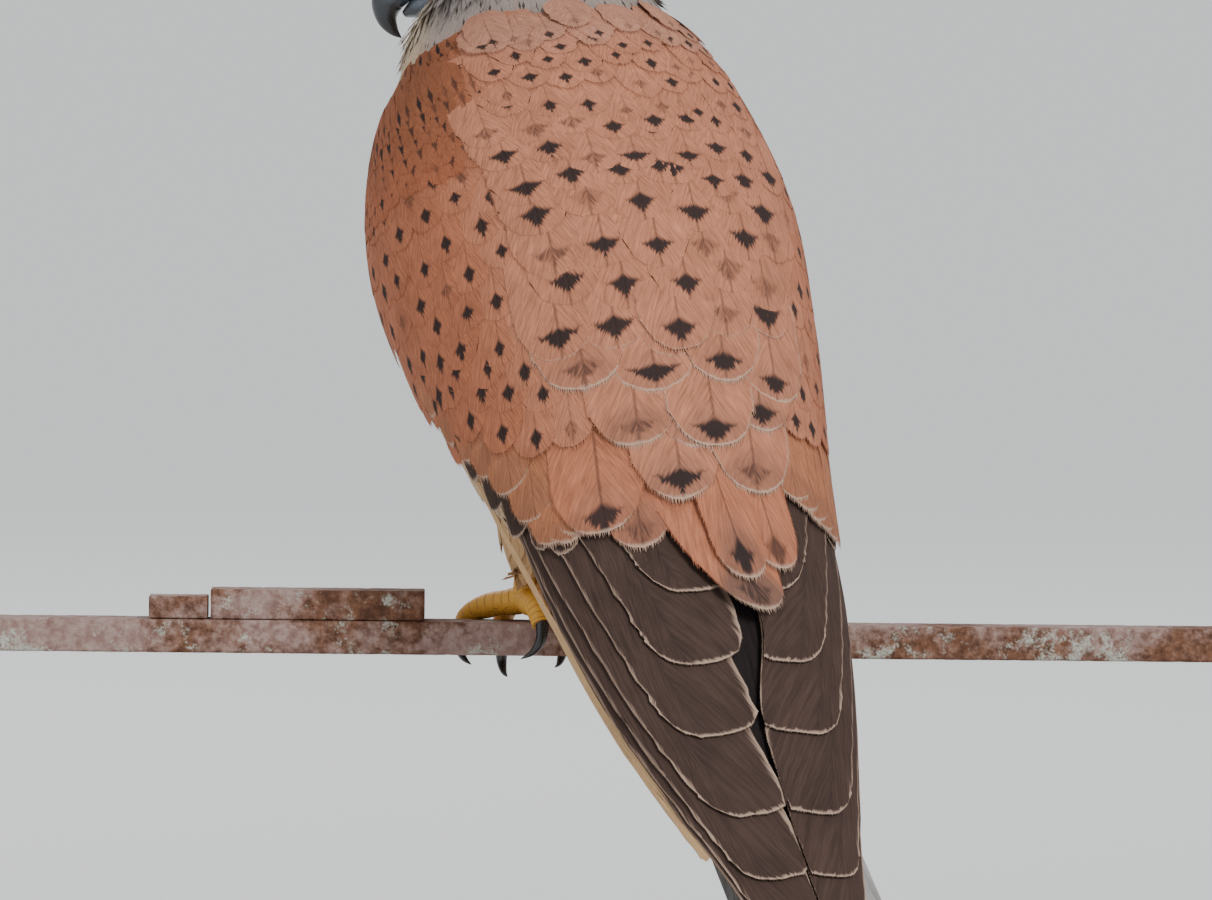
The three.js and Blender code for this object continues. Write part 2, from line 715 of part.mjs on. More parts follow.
function tailSolid(torsoGrown) {
  const rump = loft([[-0.12, 17, 8.5], [0, 16.5, 8], [0.1, 14.5, 6], [0.2, 12.5, 4.6], [0.28, 10.5, 3.8]].map(
    ([down, wide, high]) => spaced(0, 340, 17).map((angle) => {
      const a = THREE.MathUtils.degToRad(angle);
      return tailPoint(down, wide * Math.sin(a), high * Math.cos(a) - 3);
    }),
  ));
  const vanes = [];
  for (let rank = 0; rank < tailRank; rank += 1) {
    for (const side of [1, -1]) {
      const level = rank === 0 ? (side > 0 ? 0 : 1) : rank + 1;
      vanes.push(tailVane({
        root: 0.12, tip: 1 - rectrixGraduation * rank, centre: side * (rank === 0 ? 2.2 : 8.3),
        fan: side * (rank === 0 ? 0.6 : rectrixFan * (rank - 0.5)), halfWidth: rectrixHalfWidth,
        lift: () => -vaneStep * level, inner: rank === 0 ? 0 : 0.4, form: longVane,
      }));
    }
  }
  for (let n = -1; n <= 1; n += 1) {
    vanes.push(tailVane({
      root: 0.02, tip: 0.36 - 0.03 * Math.abs(n), centre: 7.5 * n, fan: 0, halfWidth: 5,
      lift: () => 1.4 - 0.2 * Math.abs(n), inner: 0,
    }));
    vanes.push(tailVane({
      root: 0.05, tip: 0.5 - 0.04 * Math.abs(n), centre: 7.5 * n, fan: 0, halfWidth: 5.4,
      lift: () => -vaneStep * (tailRank + 1.4), inner: 0,
    }));
  }
  return largest(unite([rump, ...vanes]).subtract(torsoGrown));
}

// Leg points are turned so that they line up with the perch
function legPoint([x, y, z], side) {
  const turn = THREE.MathUtils.degToRad(-birdYaw);
  return new THREE.Vector3(side * footX + x, y, z).applyAxisAngle(new THREE.Vector3(0, 0, 1), turn);
}

function railSolid(grow) {
  const geometry = new THREE.BoxGeometry(railLength, railDepth + 2 * grow, railHeight + 2 * grow);
  geometry.translate(railShift - birdX, 0, -railHeight / 2);
  geometry.rotateZ(THREE.MathUtils.degToRad(-birdYaw));
  return toSolid(geometry);
}

function legSolids(side, torsoGrown) {
  const spread = side > 0 ? -1 : 1;
  const parts = {};
  const rail = railSolid(gap);
  const flip = (points) => points.map(([x, y, z]) => legPoint([side < 0 ? x : spread * x, y, z], side));
  const hub = legPoint([0, 0.5, 5.4], side);
  const toeSolids = toes.map(({ points }) => limb([hub, ...flip(points)], toeRadii, 6));
  const pad = ball(legPoint([0, 0.5, 5.2], side), { x: 4.4, y: 4.2, z: 3.6 }, 10, 8);
  parts.foot = largest(unite([pad, ...toeSolids]).subtract(rail));
  const bare = (grow) => limb(shank.map((point) => legPoint(point, side)), shankRadii.map((r) => r + grow), 8);
  const padGrown = ball(legPoint([0, 0.5, 5.2], side), { x: 4.7, y: 4.5, z: 3.9 }, 10, 8);
  parts.tarsus = largest(bare(0).subtract(padGrown).subtract(torsoGrown));
  const line = thighLine.map(([x, y, z]) => legPoint([-side * x, y, z], side));
  parts.thigh = largest(limb(line, thighRadii, 10).subtract(torsoGrown).subtract(bare(gap)));
  return parts;
}

function clawSolid(name, side) {
  const spread = side > 0 ? -1 : 1;
  return limb(claws[name].map(([x, y, z]) => legPoint([spread * x, y, z], side)), clawRadii, 6);
}

// Stand: base with a rounded rim, collar, rod, and the cut length of bar with its two plates
function roundedPlate(length, depth, height, corner, edge) {
  const shape = new THREE.Shape();
  const x = length / 2 - edge;
  const y = depth / 2 - edge;
  const r = corner - edge;
  shape.moveTo(x - r, -y);
  shape.absarc(x - r, r - y, r, -Math.PI / 2, 0);
  shape.absarc(x - r, y - r, r, 0, Math.PI / 2);
  shape.absarc(r - x, y - r, r, Math.PI / 2, Math.PI);
  shape.absarc(r - x, r - y, r, Math.PI, 1.5 * Math.PI);
  const bevel = { bevelEnabled: true, bevelThickness: edge, bevelSize: edge, bevelSegments: 1 };
  const geometry = new THREE.ExtrudeGeometry(shape, { depth: height - 2 * edge, curveSegments: 4, ...bevel });
  geometry.translate(0, 0, edge);
  return toSolid(geometry);
}

// Upright round piece from its outline of [radius, height] pairs
function turnedPiece(profile, x, y, around = 18) {
  const geometry = new THREE.LatheGeometry(profile.map(([r, z]) => new THREE.Vector2(r, z)), around);
  geometry.rotateX(Math.PI / 2);
  geometry.translate(x, y, 0);
  return toSolid(geometry);
}

// Straight bar along X with its long edges eased
function bar(from, length, depth, bottom, height, edge) {
  const shape = new THREE.Shape();
  const y = depth / 2;
  shape.moveTo(-y + edge, 0);
  shape.lineTo(y - edge, 0);
  shape.lineTo(y, edge);
  shape.lineTo(y, height - edge);
  shape.lineTo(y - edge, height);
  shape.lineTo(-y + edge, height);
  shape.lineTo(-y, height - edge);
  shape.lineTo(-y, edge);
  shape.closePath();
  const geometry = new THREE.ExtrudeGeometry(shape, { depth: length, bevelEnabled: false });
  geometry.rotateX(Math.PI / 2);
  geometry.rotateZ(Math.PI / 2);
  geometry.translate(from, birdY, bottom);
  return toSolid(geometry);
}

const model = new THREE.Group();
const stand = new THREE.Group();
const bird = new THREE.Group();
bird.position.set(birdX, birdY, railTop);
bird.rotation.z = THREE.MathUtils.degToRad(birdYaw);
model.add(stand, bird);

function place(parent, name, solid, material) {
  const mesh = new THREE.Mesh(toGeometry(solid), material);
  mesh.name = name;
  parent.add(mesh);
}

const railBottom = railTop - railHeight;
const base = roundedPlate(baseLength, baseDepth, baseHeight, baseCorner, baseEdge);
const collarBottom = baseHeight + gap;
const collarTop = collarBottom + collarHeight;
const collarBore = rodRadius + gap;
const collar = [
  [collarBore, collarBottom], [collarRadius, collarBottom], [collarRadius, collarTop - 1.5],
  [collarRadius - 1.5, collarTop], [collarBore, collarTop], [collarBore, collarBottom],
];
const rodTop = railBottom - gap;
const rod = [[0, collarBottom], [rodRadius, collarBottom], [rodRadius, rodTop], [0, rodTop]];
place(stand, 'stand_base', base, paint('wood', 0.4));
place(stand, 'stand_collar', turnedPiece(collar, rodX, birdY), paint('steel', 0.35, 1));
place(stand, 'stand_rod', turnedPiece(rod, rodX, birdY), paint('steel', 0.35, 1));
const railStart = railShift - railLength / 2;
const rail = bar(railStart, railLength, railDepth, railBottom, railHeight, railEdge);
place(stand, 'stand_perch', rail, paint('rust', 0.9, 0.3));
for (const { name, from, length, height, depth } of plates) {
  place(stand, name, bar(from, length, depth, railTop + gap, height, railEdge), paint('rust', 0.9, 0.3));
}

const torso = torsoSolid(0);
const torsoGrown = torsoSolid(gap);
place(bird, 'torso', torso, paint('buff'));
place(bird, 'neck', neckSolid(skullSolid(gap)), paint('grey'));
place(bird, 'mantle', mantleSolid(), paint('chestnut'));
place(bird, 'tail', tailSolid(torsoGrown), paint('tailGrey'));

const headFinish = {
  head: ['grey', 0.85], cere: ['yellow', 0.5], bill_upper: ['slate', 0.35], bill_lower: ['slate', 0.35],
};
for (const [name, solid] of Object.entries(headSolids())) {
  const [colour, roughness] = headFinish[name] ?? (name.startsWith('eye_') ? ['eye', 0.1] : ['yellow', 0.6]);
  place(bird, name, solid, paint(colour, roughness));
}

for (const [word, side] of [['left', -1], ['right', 1]]) {
  place(bird, `wing_${word}`, wingSolid(side), paint('brown'));
  const { foot, tarsus, thigh } = legSolids(side, torsoGrown);
  place(bird, `foot_${word}`, foot, paint('yellow', 0.6));
  place(bird, `tarsus_${word}`, tarsus, paint('yellow', 0.6));
  place(bird, `thigh_${word}`, thigh, paint('buff'));
  for (const { name } of toes) {
    place(bird, `claw_${name}_${word}`, clawSolid(name, side), paint('black', 0.35));
  }
}

export default model;
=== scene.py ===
import math

import bmesh
import bpy
import numpy as np
from mathutils import Matrix, Vector, noise
from mathutils.kdtree import KDTree


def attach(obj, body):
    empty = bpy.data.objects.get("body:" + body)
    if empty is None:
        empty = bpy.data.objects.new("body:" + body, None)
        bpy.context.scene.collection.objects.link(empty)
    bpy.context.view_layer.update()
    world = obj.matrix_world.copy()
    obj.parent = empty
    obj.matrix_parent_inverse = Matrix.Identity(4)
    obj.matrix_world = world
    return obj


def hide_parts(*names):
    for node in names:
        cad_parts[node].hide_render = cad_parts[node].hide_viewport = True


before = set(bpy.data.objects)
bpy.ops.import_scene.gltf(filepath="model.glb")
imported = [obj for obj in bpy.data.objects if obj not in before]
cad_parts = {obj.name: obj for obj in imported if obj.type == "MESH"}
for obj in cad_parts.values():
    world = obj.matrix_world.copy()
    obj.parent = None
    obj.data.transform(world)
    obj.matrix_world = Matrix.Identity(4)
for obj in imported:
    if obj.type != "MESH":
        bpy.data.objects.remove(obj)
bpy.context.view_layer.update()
rng = np.random.default_rng(71)

# Where the bird stands, in mm, and how far it is turned towards -X
perching = {"x": -8, "y": 12, "z": 127, "yaw": 30}
sides = (("left", -1), ("right", 1))

# The closed-wing outline from the nape (0) to the wing tips (10), in the bird's own frame, mm
body = {
    "forward": [44, 31, 18, 5, -10, -26, -45, -68, -92, -115, -137],
    "up": [160, 137, 111, 85, 59, 33, 8, -21, -51, -80, -108],
    "side": [0, 0, 0, 0, 0, 0, -1, -2.6, -3, -2.6, -2],
    "halfWidth": [17, 28.5, 43, 50, 48, 43.5, 39, 32, 20.5, 11, 6],
    "back": [17, 26.5, 36, 40, 37, 30, 20.5, 13, 9, 6.5, 4.5],
    "breast": [20, 33, 42, 44, 38, 27, 17, 10, 6, 4, 3],
}

paint = {  # linear colours
    "chestnut": (0.40, 0.132, 0.064),
    "rufous": (0.29, 0.105, 0.050),
    "salmon": (0.50, 0.200, 0.115),
    "nape": (0.38, 0.30, 0.255),
    "buff": (0.62, 0.39, 0.20),
    "cream": (0.76, 0.62, 0.46),
    "cheek": (0.50, 0.39, 0.29),
    "breast": (0.62, 0.40, 0.22),
    "vent": (0.74, 0.57, 0.38),
    "headGrey": (0.20, 0.205, 0.22),
    "dark": (0.030, 0.021, 0.020),
    "greyBrown": (0.135, 0.088, 0.070),
    "flight": (0.062, 0.037, 0.029),
    "fringe": (0.60, 0.42, 0.31),
    "tail": (0.36, 0.34, 0.32),
}


# Numbers and the outline
def along(values, station):  # smooth curve through a row of values
    v = np.asarray(values, float)
    s = np.clip(station, 0, len(v) - 1 - 1e-9)
    i = np.floor(s).astype(int)
    f = s - i
    a, b = v[np.maximum(i - 1, 0)], v[i]
    c, d = v[i + 1], v[np.minimum(i + 2, len(v) - 1)]
    bend, twist = 2 * a - 5 * b + 4 * c - d, 3 * b - a - 3 * c + d
    return 0.5 * (2 * b + (c - a) * f + bend * f * f + twist * f ** 3)


def ramp(x, low, high):
    t = np.clip((np.asarray(x, float) - low) / (high - low), 0, 1)
    return t * t * (3 - 2 * t)


def mix(a, b, t):
    return a + (b - a) * t


def outline(station, angle, lift=0.0):  # angle 0 is mid back, +90 the bird's right, 180 the breast
    u = np.clip(station, 0.0, 10.0)
    low, high = np.maximum(u - 0.02, 0), np.minimum(u + 0.02, 10)
    df = along(body["forward"], high) - along(body["forward"], low)
    du = along(body["up"], high) - along(body["up"], low)
    size = np.hypot(df, du)
    a = np.radians(angle)
    tall = np.where(np.abs(angle) <= 90, along(body["back"], u), along(body["breast"], u))
    out = (tall + lift) * np.cos(a)
    return np.stack([
        along(body["side"], u) + (along(body["halfWidth"], u) + lift) * np.sin(a),
        along(body["forward"], u) + du / size * out,
        along(body["up"], u) - df / size * out,
    ], -1)


# Distance over the surface from the ridge, tabled so that it can be turned back into an angle
arcStations = np.arange(0, 10.01, 0.05)
arcAngles = np.arange(0, 181, 2.0)
arcGrid = outline(arcStations[:, None], arcAngles[None, :] + 0 * arcStations[:, None])
arcSteps = np.linalg.norm(np.diff(arcGrid, axis=1), axis=2)
arcTable = np.concatenate([np.zeros((len(arcStations), 1)), np.cumsum(arcSteps, axis=1)], 1)


def arcAt(station, angle):
    i = np.clip(np.round(np.asarray(station) / 0.05).astype(int), 0, len(arcStations) - 1)
    j = np.clip(np.abs(angle) / 2, 0, len(arcAngles) - 1.001)
    k = j.astype(int)
    return np.sign(angle) * (arcTable[i, k] * (1 - (j - k)) + arcTable[i, k + 1] * (j - k))


def angleAt(station, distance):
    i = np.clip(np.asarray(station) / 0.05, 0, len(arcStations) - 1.001)
    k = i.astype(int)
    rows = arcTable[k] * (1 - (i - k))[..., None] + arcTable[k + 1] * (i - k)[..., None]
    d = np.abs(distance)[..., None]
    j = np.clip((rows < d).sum(-1) - 1, 0, len(arcAngles) - 2)
    low = np.take_along_axis(rows, j[..., None], -1)[..., 0]
    high = np.take_along_axis(rows, j[..., None] + 1, -1)[..., 0]
    return np.sign(distance) * 2 * (j + np.clip((np.abs(distance) - low) / (high - low), 0, 1))


turn = math.radians(perching["yaw"])
yawMatrix = np.array([[math.cos(turn), -math.sin(turn), 0], [math.sin(turn), math.cos(turn), 0], [0, 0, 1]])
perchPoint = np.array([perching["x"], perching["y"], perching["z"]])


def toRow(points):  # bird's frame in mm to the row's frame in metres
    return (np.asarray(points, float) @ yawMatrix.T + perchPoint) / 1000


def toRowVector(v):
    return np.asarray(v, float) @ yawMatrix.T


def fromRow(points):
    return (np.asarray(points, float) * 1000 - perchPoint) @ yawMatrix


# Meshes from arrays
def meshOf(name, points, quads=(), tris=()):
    quads = np.asarray(quads, np.int32).reshape(-1, 4)
    tris = np.asarray(tris, np.int32).reshape(-1, 3)
    counts = np.concatenate([np.full(len(quads), 4), np.full(len(tris), 3)]).astype(np.int32)
    corners = np.concatenate([quads.ravel(), tris.ravel()]).astype(np.int32)
    mesh = bpy.data.meshes.new(name)
    mesh.vertices.add(len(points))
    mesh.vertices.foreach_set("co", np.asarray(points, np.float32).ravel())
    mesh.loops.add(len(corners))
    mesh.loops.foreach_set("vertex_index", corners)
    mesh.polygons.add(len(counts))
    mesh.polygons.foreach_set("loop_start", (np.cumsum(counts) - counts).astype(np.int32))
    mesh.update(calc_edges=True)
    mesh.validate()
    smoothFaces(mesh)
    return mesh


def smoothFaces(mesh):
    mesh.polygons.foreach_set("use_smooth", np.ones(len(mesh.polygons), bool))


def addPiece(name, mesh, material, replaced=()):
    piece = bpy.data.objects.new(name, mesh)
    bpy.context.scene.collection.objects.link(piece)
    mesh.materials.clear()
    mesh.materials.append(material)
    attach(piece, "root")
    if replaced:
        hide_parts(*replaced)
    print(f"{name}: {len(mesh.polygons)} faces")
    return piece


def setColours(mesh, name, values):  # one RGBA a vertex
    data = mesh.attributes.new(name, "FLOAT_COLOR", "POINT")
    rgba = np.ones((len(mesh.vertices), 4), np.float32)
    values = np.asarray(values, np.float32)
    rgba[:, :values.shape[1]] = values
    data.data.foreach_set("color", rgba.ravel())


def setVectors(mesh, name, values):
    data = mesh.attributes.new(name, "FLOAT_VECTOR", "POINT")
    data.data.foreach_set("vector", np.asarray(values, np.float32).ravel())


def setFloats(mesh, name, values):
    data = mesh.attributes.new(name, "FLOAT", "POINT")
    data.data.foreach_set("value", np.asarray(values, np.float32))


def readVectors(data, name, count):
    values = np.empty(count * 3, np.float32)
    data.foreach_get(name, values)
    return values.reshape(-1, 3)


def setUv(mesh, name, perVertex):
    layer = mesh.uv_layers.new(name=name)
    corner = np.empty(len(mesh.loops), np.int32)
    mesh.loops.foreach_get("vertex_index", corner)
    layer.uv.foreach_set("vector", np.asarray(perVertex, np.float32)[corner].ravel())


def setSharp(mesh, onRim):  # edges whose two ends lie on a feather's rim stay crisp
    ends = np.empty(len(mesh.edges) * 2, np.int32)
    mesh.edges.foreach_get("vertices", ends)
    ends = ends.reshape(-1, 2)
    data = mesh.attributes.get("sharp_edge") or mesh.attributes.new("sharp_edge", "BOOLEAN", "EDGE")
    data.data.foreach_set("value", onRim[ends[:, 0]] & onRim[ends[:, 1]])


def setNormals(mesh, normals):  # feathers take the shading of the form they lie on, so their rims stay soft
    corners = np.empty(len(mesh.loops), np.int32)
    mesh.loops.foreach_get("vertex_index", corners)
    sizes = np.empty(len(mesh.polygons), np.int32)
    mesh.polygons.foreach_get("loop_total", sizes)
    faces = np.repeat(readVectors(mesh.polygons, "normal", len(mesh.polygons)), sizes, axis=0)
    chosen = normals[corners]
    facing = np.where(np.einsum("ij,ij->i", faces, chosen) < 0, -1.0, 1.0)
    mesh.normals_split_custom_set((chosen * facing[:, None]).tolist())


def gridQuads(rows, columns, closed=False, start=0):
    i, j = np.meshgrid(np.arange(rows - 1), np.arange(columns if closed else columns - 1), indexing="ij")
    a = start + i * columns + j
    b = start + i * columns + (j + 1) % columns
    return np.stack([a, b, b + columns, a + columns], -1).reshape(-1, 4)


def vaneFaces(rows, columns):  # the inner points of a thin vane, and the faces over and under it
    inner = np.zeros((rows, columns), bool)
    inner[1:-1, 1:-1] = True
    index = np.arange(rows * columns).reshape(rows, columns)
    below = index.copy()
    below[inner] = rows * columns + np.arange(inner.sum())
    quads = []
    for grid, flip in ((index, False), (below, True)):
        a, b, c, d = grid[:-1, :-1], grid[:-1, 1:], grid[1:, 1:], grid[1:, :-1]
        quads.append(np.stack([a, b, c, d] if flip else [d, c, b, a], -1).reshape(-1, 4))
    return inner, np.concatenate(quads)


def closedLoft(rings):  # rings of points, each as long, closed by a cap at each end
    rings = np.asarray(rings, float)
    rows, columns = rings.shape[:2]
    points = np.concatenate([rings.reshape(-1, 3), rings[0].mean(0)[None], rings[-1].mean(0)[None]])
    j = np.arange(columns)
    first, last = rows * columns, rows * columns + 1
    end = (rows - 1) * columns
    caps = np.concatenate([
        np.stack([(j + 1) % columns, j, np.full(columns, first)], 1),
        np.stack([end + j, end + (j + 1) % columns, np.full(columns, last)], 1)])
    return points, gridQuads(rows, columns, True), caps


def outward(points, quads, tris):  # turns a closed shape's faces out where they point in
    volume = 0.0
    away = points - points.mean(0)
    for faces in (tris, quads[:, [0, 1, 2]], quads[:, [0, 2, 3]]):
        a, b, c = (away[faces[:, k]] for k in range(3))
        volume += np.einsum("ij,ij->i", a, np.cross(b, c)).sum()
    return (quads[:, ::-1], tris[:, ::-1]) if volume < 0 else (quads, tris)


def loftMesh(name, rings, toFrame=toRow):
    points, quads, tris = closedLoft(rings)
    quads, tris = outward(points, quads, tris)
    return meshOf(name, toFrame(points), quads, tris)


# Shader maths as expressions on sockets
class Sock:
    def __init__(self, tree, out):
        self.tree, self.out = tree, out

    def maths(self, operation, *others):
        return self.tree.node("ShaderNodeMath", {"operation": operation}, [self, *others])

    def __add__(self, other):
        return self.maths("ADD", other)

    def __sub__(self, other):
        return self.maths("SUBTRACT", other)

    def __rsub__(self, other):
        return self.tree.node("ShaderNodeMath", {"operation": "SUBTRACT"}, [other, self])

    def __mul__(self, other):
        return self.maths("MULTIPLY", other)

    def __truediv__(self, other):
        return self.maths("DIVIDE", other)

    def __rtruediv__(self, other):
        return self.tree.node("ShaderNodeMath", {"operation": "DIVIDE"}, [other, self])

    __radd__ = __add__
    __rmul__ = __mul__

    def abs(self):
        return self.maths("ABSOLUTE")

    def fract(self):
        return self.maths("FRACT")

    def least(self, other):
        return self.maths("MINIMUM", other)

    def most(self, other):
        return self.maths("MAXIMUM", other)

    def smooth(self, low, high):  # 0 below low, 1 above high, soft between
        return self.tree.node("ShaderNodeMapRange", {"interpolation_type": "SMOOTHSTEP"},
                              {"Value": self, "From Min": low, "From Max": high}, "Result")


class Material:
    def __init__(self, name, roughness=0.5, metallic=0.0, specular=0.5, fixed=None):
        self.material = bpy.data.materials.new(name)
        self.material.use_nodes = True
        self.nodes = self.material.node_tree.nodes
        self.links = self.material.node_tree.links
        self.shader = self.nodes["Principled BSDF"]
        self.set("Roughness", roughness)
        self.set("Metallic", metallic)
        self.set("Specular IOR Level", specular)
        for socket, value in (fixed or {}).items():
            self.set(socket, value)
        self.coordinates = None

    def set(self, socket, value):
        if isinstance(value, Sock):
            self.links.new(value.out, self.shader.inputs[socket])
        else:
            self.shader.inputs[socket].default_value = value

    def node(self, kind, settings=None, values=(), output=0):
        n = self.nodes.new(kind)
        for key, value in (settings or {}).items():
            if key == "stops":
                while len(n.color_ramp.elements) < len(value):
                    n.color_ramp.elements.new(0.5)
                for element, (place, colour) in zip(n.color_ramp.elements, value):
                    element.position = place
                    element.color = (*colour, 1)
            else:
                setattr(n, key, value)
        pairs = values.items() if isinstance(values, dict) else enumerate(values)
        for key, value in pairs:
            if isinstance(value, Sock):
                self.links.new(value.out, n.inputs[key])
            else:
                kept = n.inputs[key]
                wide = hasattr(kept.default_value, "__len__")
                if wide and len(kept.default_value) == 4 and len(value) == 3:
                    value = (*value, 1)
                kept.default_value = value
        return Sock(self, n.outputs[output])

    def place(self):
        if self.coordinates is None:
            self.coordinates = self.node("ShaderNodeTexCoord", output="Object")
        return self.coordinates

    def attribute(self, name, output="Color"):
        return self.node("ShaderNodeAttribute", {"attribute_name": name}, output=output)

    def parts(self, vector):  # the three numbers of a vector or colour
        n = self.nodes.new("ShaderNodeSeparateXYZ")
        self.links.new(vector.out, n.inputs[0])
        return [Sock(self, n.outputs[k]) for k in range(3)]

    def joined(self, x, y, z=0.0):
        return self.node("ShaderNodeCombineXYZ", values=[x, y, z])

    def noise(self, scale, vector=None, detail=2.0, roughness=0.5, stretch=None):
        vector = vector or self.place()
        if stretch:
            vector = self.node("ShaderNodeMapping", values={"Vector": vector, "Scale": stretch})
        return self.node("ShaderNodeTexNoise", values={
            "Vector": vector, "Scale": scale, "Detail": detail, "Roughness": roughness})

    def cells(self, scale, feature="F1"):
        values = {"Vector": self.place(), "Scale": scale}
        return self.node("ShaderNodeTexVoronoi", {"feature": feature}, values, "Distance")

    def blend(self, factor, a, b, kind="MIX"):
        n = self.nodes.new("ShaderNodeMix")
        n.data_type = "RGBA"
        n.blend_type = kind
        for socket, value in ((n.inputs[0], factor), (n.inputs[6], a), (n.inputs[7], b)):
            if isinstance(value, Sock):
                self.links.new(value.out, socket)
            else:
                socket.default_value = value if isinstance(value, (int, float)) else (*value, 1)
        return Sock(self, n.outputs[2])

    def tone(self, colour, amount):  # colour times a number
        values = {"Vector": colour, "Scale": amount}
        return self.node("ShaderNodeVectorMath", {"operation": "SCALE"}, values)

    def bump(self, height, distance, strength):
        return self.node("ShaderNodeBump", values={
            "Height": height, "Distance": distance, "Strength": strength})

    def finish(self, colour, roughness=None, normal=None):
        for socket, value in (("Base Color", colour), ("Roughness", roughness), ("Normal", normal)):
            if value is not None:
                self.set(socket, value if isinstance(value, (Sock, float)) else (*value, 1))
        return self.material


# One plumage shader for every feather: its colour, mark, fringe and barbs come from the feather's own data
def makePlumage():
    m = Material("plumage", roughness=0.72, specular=0.12)
    tint = m.attribute("tint")
    markCentre, markWide, markLong = m.parts(m.attribute("mark"))
    markPower = m.attribute("mark", "Alpha")
    fringe, shaft, draw = m.parts(m.attribute("trim"))
    wash = m.attribute("trim", "Alpha")
    # across the vane -1 to 1, from root to tip 0 to 1, and mm to the rim
    x, y, edge = m.parts(m.attribute("vane", "Vector"))
    side = x.abs()
    # barbs run out and down from the shaft, so they vary across that direction
    acrossBarbs = side * 17.0 - y * 40.0
    alongBarbs = side * 1.2 + y * 6.0
    ownPattern = draw * 37.0 + x.maths("SIGN") * 3.0
    barbs = m.noise(1.0, m.joined(acrossBarbs, alongBarbs, ownPattern), 3.0, 0.62) - 0.5
    comb = m.noise(1.0, m.joined(acrossBarbs * 0.85, draw * 91.0, 0.0), 2.0, 0.75) - 0.5
    cloud = m.noise(120.0, detail=3.0) - 0.5
    colour = m.tone(tint, (1.0 + barbs * 1.5 + cloud * 0.5) * (1.0 + (draw - 0.5) * 0.05))
    # the anchor: a hollow-sided diamond with its arms rising away from the shaft
    rise = 0.13 - markWide.smooth(1.0, 1.6) * 0.115
    reach = ((y - markCentre + side * side * rise + comb * 0.10) / markLong.most(0.001)).abs()
    across = ((side + comb * 0.30) / markWide.most(0.001)).most(0.0)
    star = across.maths("POWER", 0.9) + reach.maths("POWER", 0.9)
    mark = 1.0 - star.smooth(0.75, 1.3)
    shaftLine = (1.0 - side.smooth(0.012, 0.05)) * shaft * y.smooth(0.2, 0.55)
    # a faint mark breaks up into single dark barbs
    lines = (barbs * 1.9 + markPower).smooth(0.22, 0.70)
    dark = (mark * lines * (markPower * 0.5 + 0.5)).most(shaftLine * 0.7).least(1.0)
    washed = (y - side * side * 0.2 + comb * 0.12).smooth(0.70, 0.84) * wash
    colour = m.blend(washed * 0.8, colour, paint["greyBrown"])
    colour = m.blend(dark, colour, paint["dark"])
    # large feathers keep their pale fringe near the tip only
    inset = edge + comb * 2.2 + (1.0 - y) * fringe.smooth(0.5, 0.85) * 14.0
    rim = (1.0 - inset.smooth(0.0, fringe.most(0.01) * 1.6)) * fringe.smooth(0.02, 0.3)
    colour = m.blend(rim * (0.42 + y.smooth(0.72, 0.92) * 0.35 + comb), colour, paint["fringe"])
    height = barbs * 0.9 + (1.0 - side.smooth(0.0, 0.06)) * 0.5
    return m.finish(colour, normal=m.bump(height, 0.00030, 0.8))


plumage = makePlumage()
print("plumage shader ready")


# Camera, floor and light: the photo looks along +Y, a little down, with a small roll
view = {"aim": (-0.005075, 0.012, 0.1657), "distance": 3.030, "down": 2.5, "roll": 0.55, "lens": 400}
room = {
    "floor": 200.0, "floorColour": (0.80, 0.80, 0.78), "sky": (0.80, 0.84, 0.90, 1), "skyStrength": 0.66,
}
lights = (  # name, kind, place, width or angle, power
    ("key", "SUN", (1.5, -1.9, 2.3), math.radians(20), 2.3),
    ("fill", "AREA", (-1.9, -1.0, 0.9), 1.6, 5.0),
    ("back", "AREA", (-0.6, 1.8, 1.7), 1.2, 14.0),
)


def makeCamera():
    camera = bpy.data.objects.new("camera", bpy.data.cameras.new("camera"))
    bpy.context.scene.collection.objects.link(camera)
    camera.data.lens = view["lens"]
    camera.data.sensor_width = 36
    camera.data.clip_end = 500
    down = math.radians(view["down"])
    aim = Vector(view["aim"])
    camera.location = aim + Vector((0, -math.cos(down), math.sin(down))) * view["distance"]
    look = (aim - camera.location).to_track_quat("-Z", "Y")
    roll = math.radians(view["roll"])
    camera.rotation_euler = (look.to_matrix() @ Matrix.Rotation(roll, 3, "Z")).to_euler()
    bpy.context.scene.camera = camera


def makeRoom():
    reach = room["floor"]
    corners = [(-reach, -reach, 0), (reach, -reach, 0), (reach, reach, 0), (-reach, reach, 0)]
    mesh = bpy.data.meshes.new("floor")
    mesh.from_pydata(corners, [], [(0, 1, 2, 3)])
    floor = bpy.data.objects.new("floor", mesh)
    bpy.context.scene.collection.objects.link(floor)
    m = Material("floor", roughness=0.9, specular=0.1)
    mesh.materials.append(m.finish(room["floorColour"]))
    world = bpy.data.worlds.new("world")
    world.use_nodes = True
    background = world.node_tree.nodes["Background"]
    background.inputs["Color"].default_value = room["sky"]
    background.inputs["Strength"].default_value = room["skyStrength"]
    bpy.context.scene.world = world
    for name, kind, at, width, power in lights:
        data = bpy.data.lights.new(name, kind)
        setattr(data, "angle" if kind == "SUN" else "size", width)
        data.energy = power
        light = bpy.data.objects.new(name, data)
        light.location = at
        light.rotation_euler = (Vector(view["aim"]) - Vector(at)).to_track_quat("-Z", "Y").to_euler()
        bpy.context.scene.collection.objects.link(light)


makeCamera()
makeRoom()
print("camera, floor and lights ready")


barbSizes = {"pitch": 0.40, "half": 0.15}
forms = {
    "long": {"rows": 26, "columns": 11, "ragged": 0.12},
    "short": {"rows": 14, "columns": 9, "ragged": 0.25},
    "small": {"rows": 8, "columns": 7, "ragged": 0.2},
}
stationLength = 27.0  # mm from one station of the outline to the next


def unit(vectors, least=1e-6):
    return vectors / np.maximum(np.linalg.norm(vectors, axis=-1), least)[..., None]


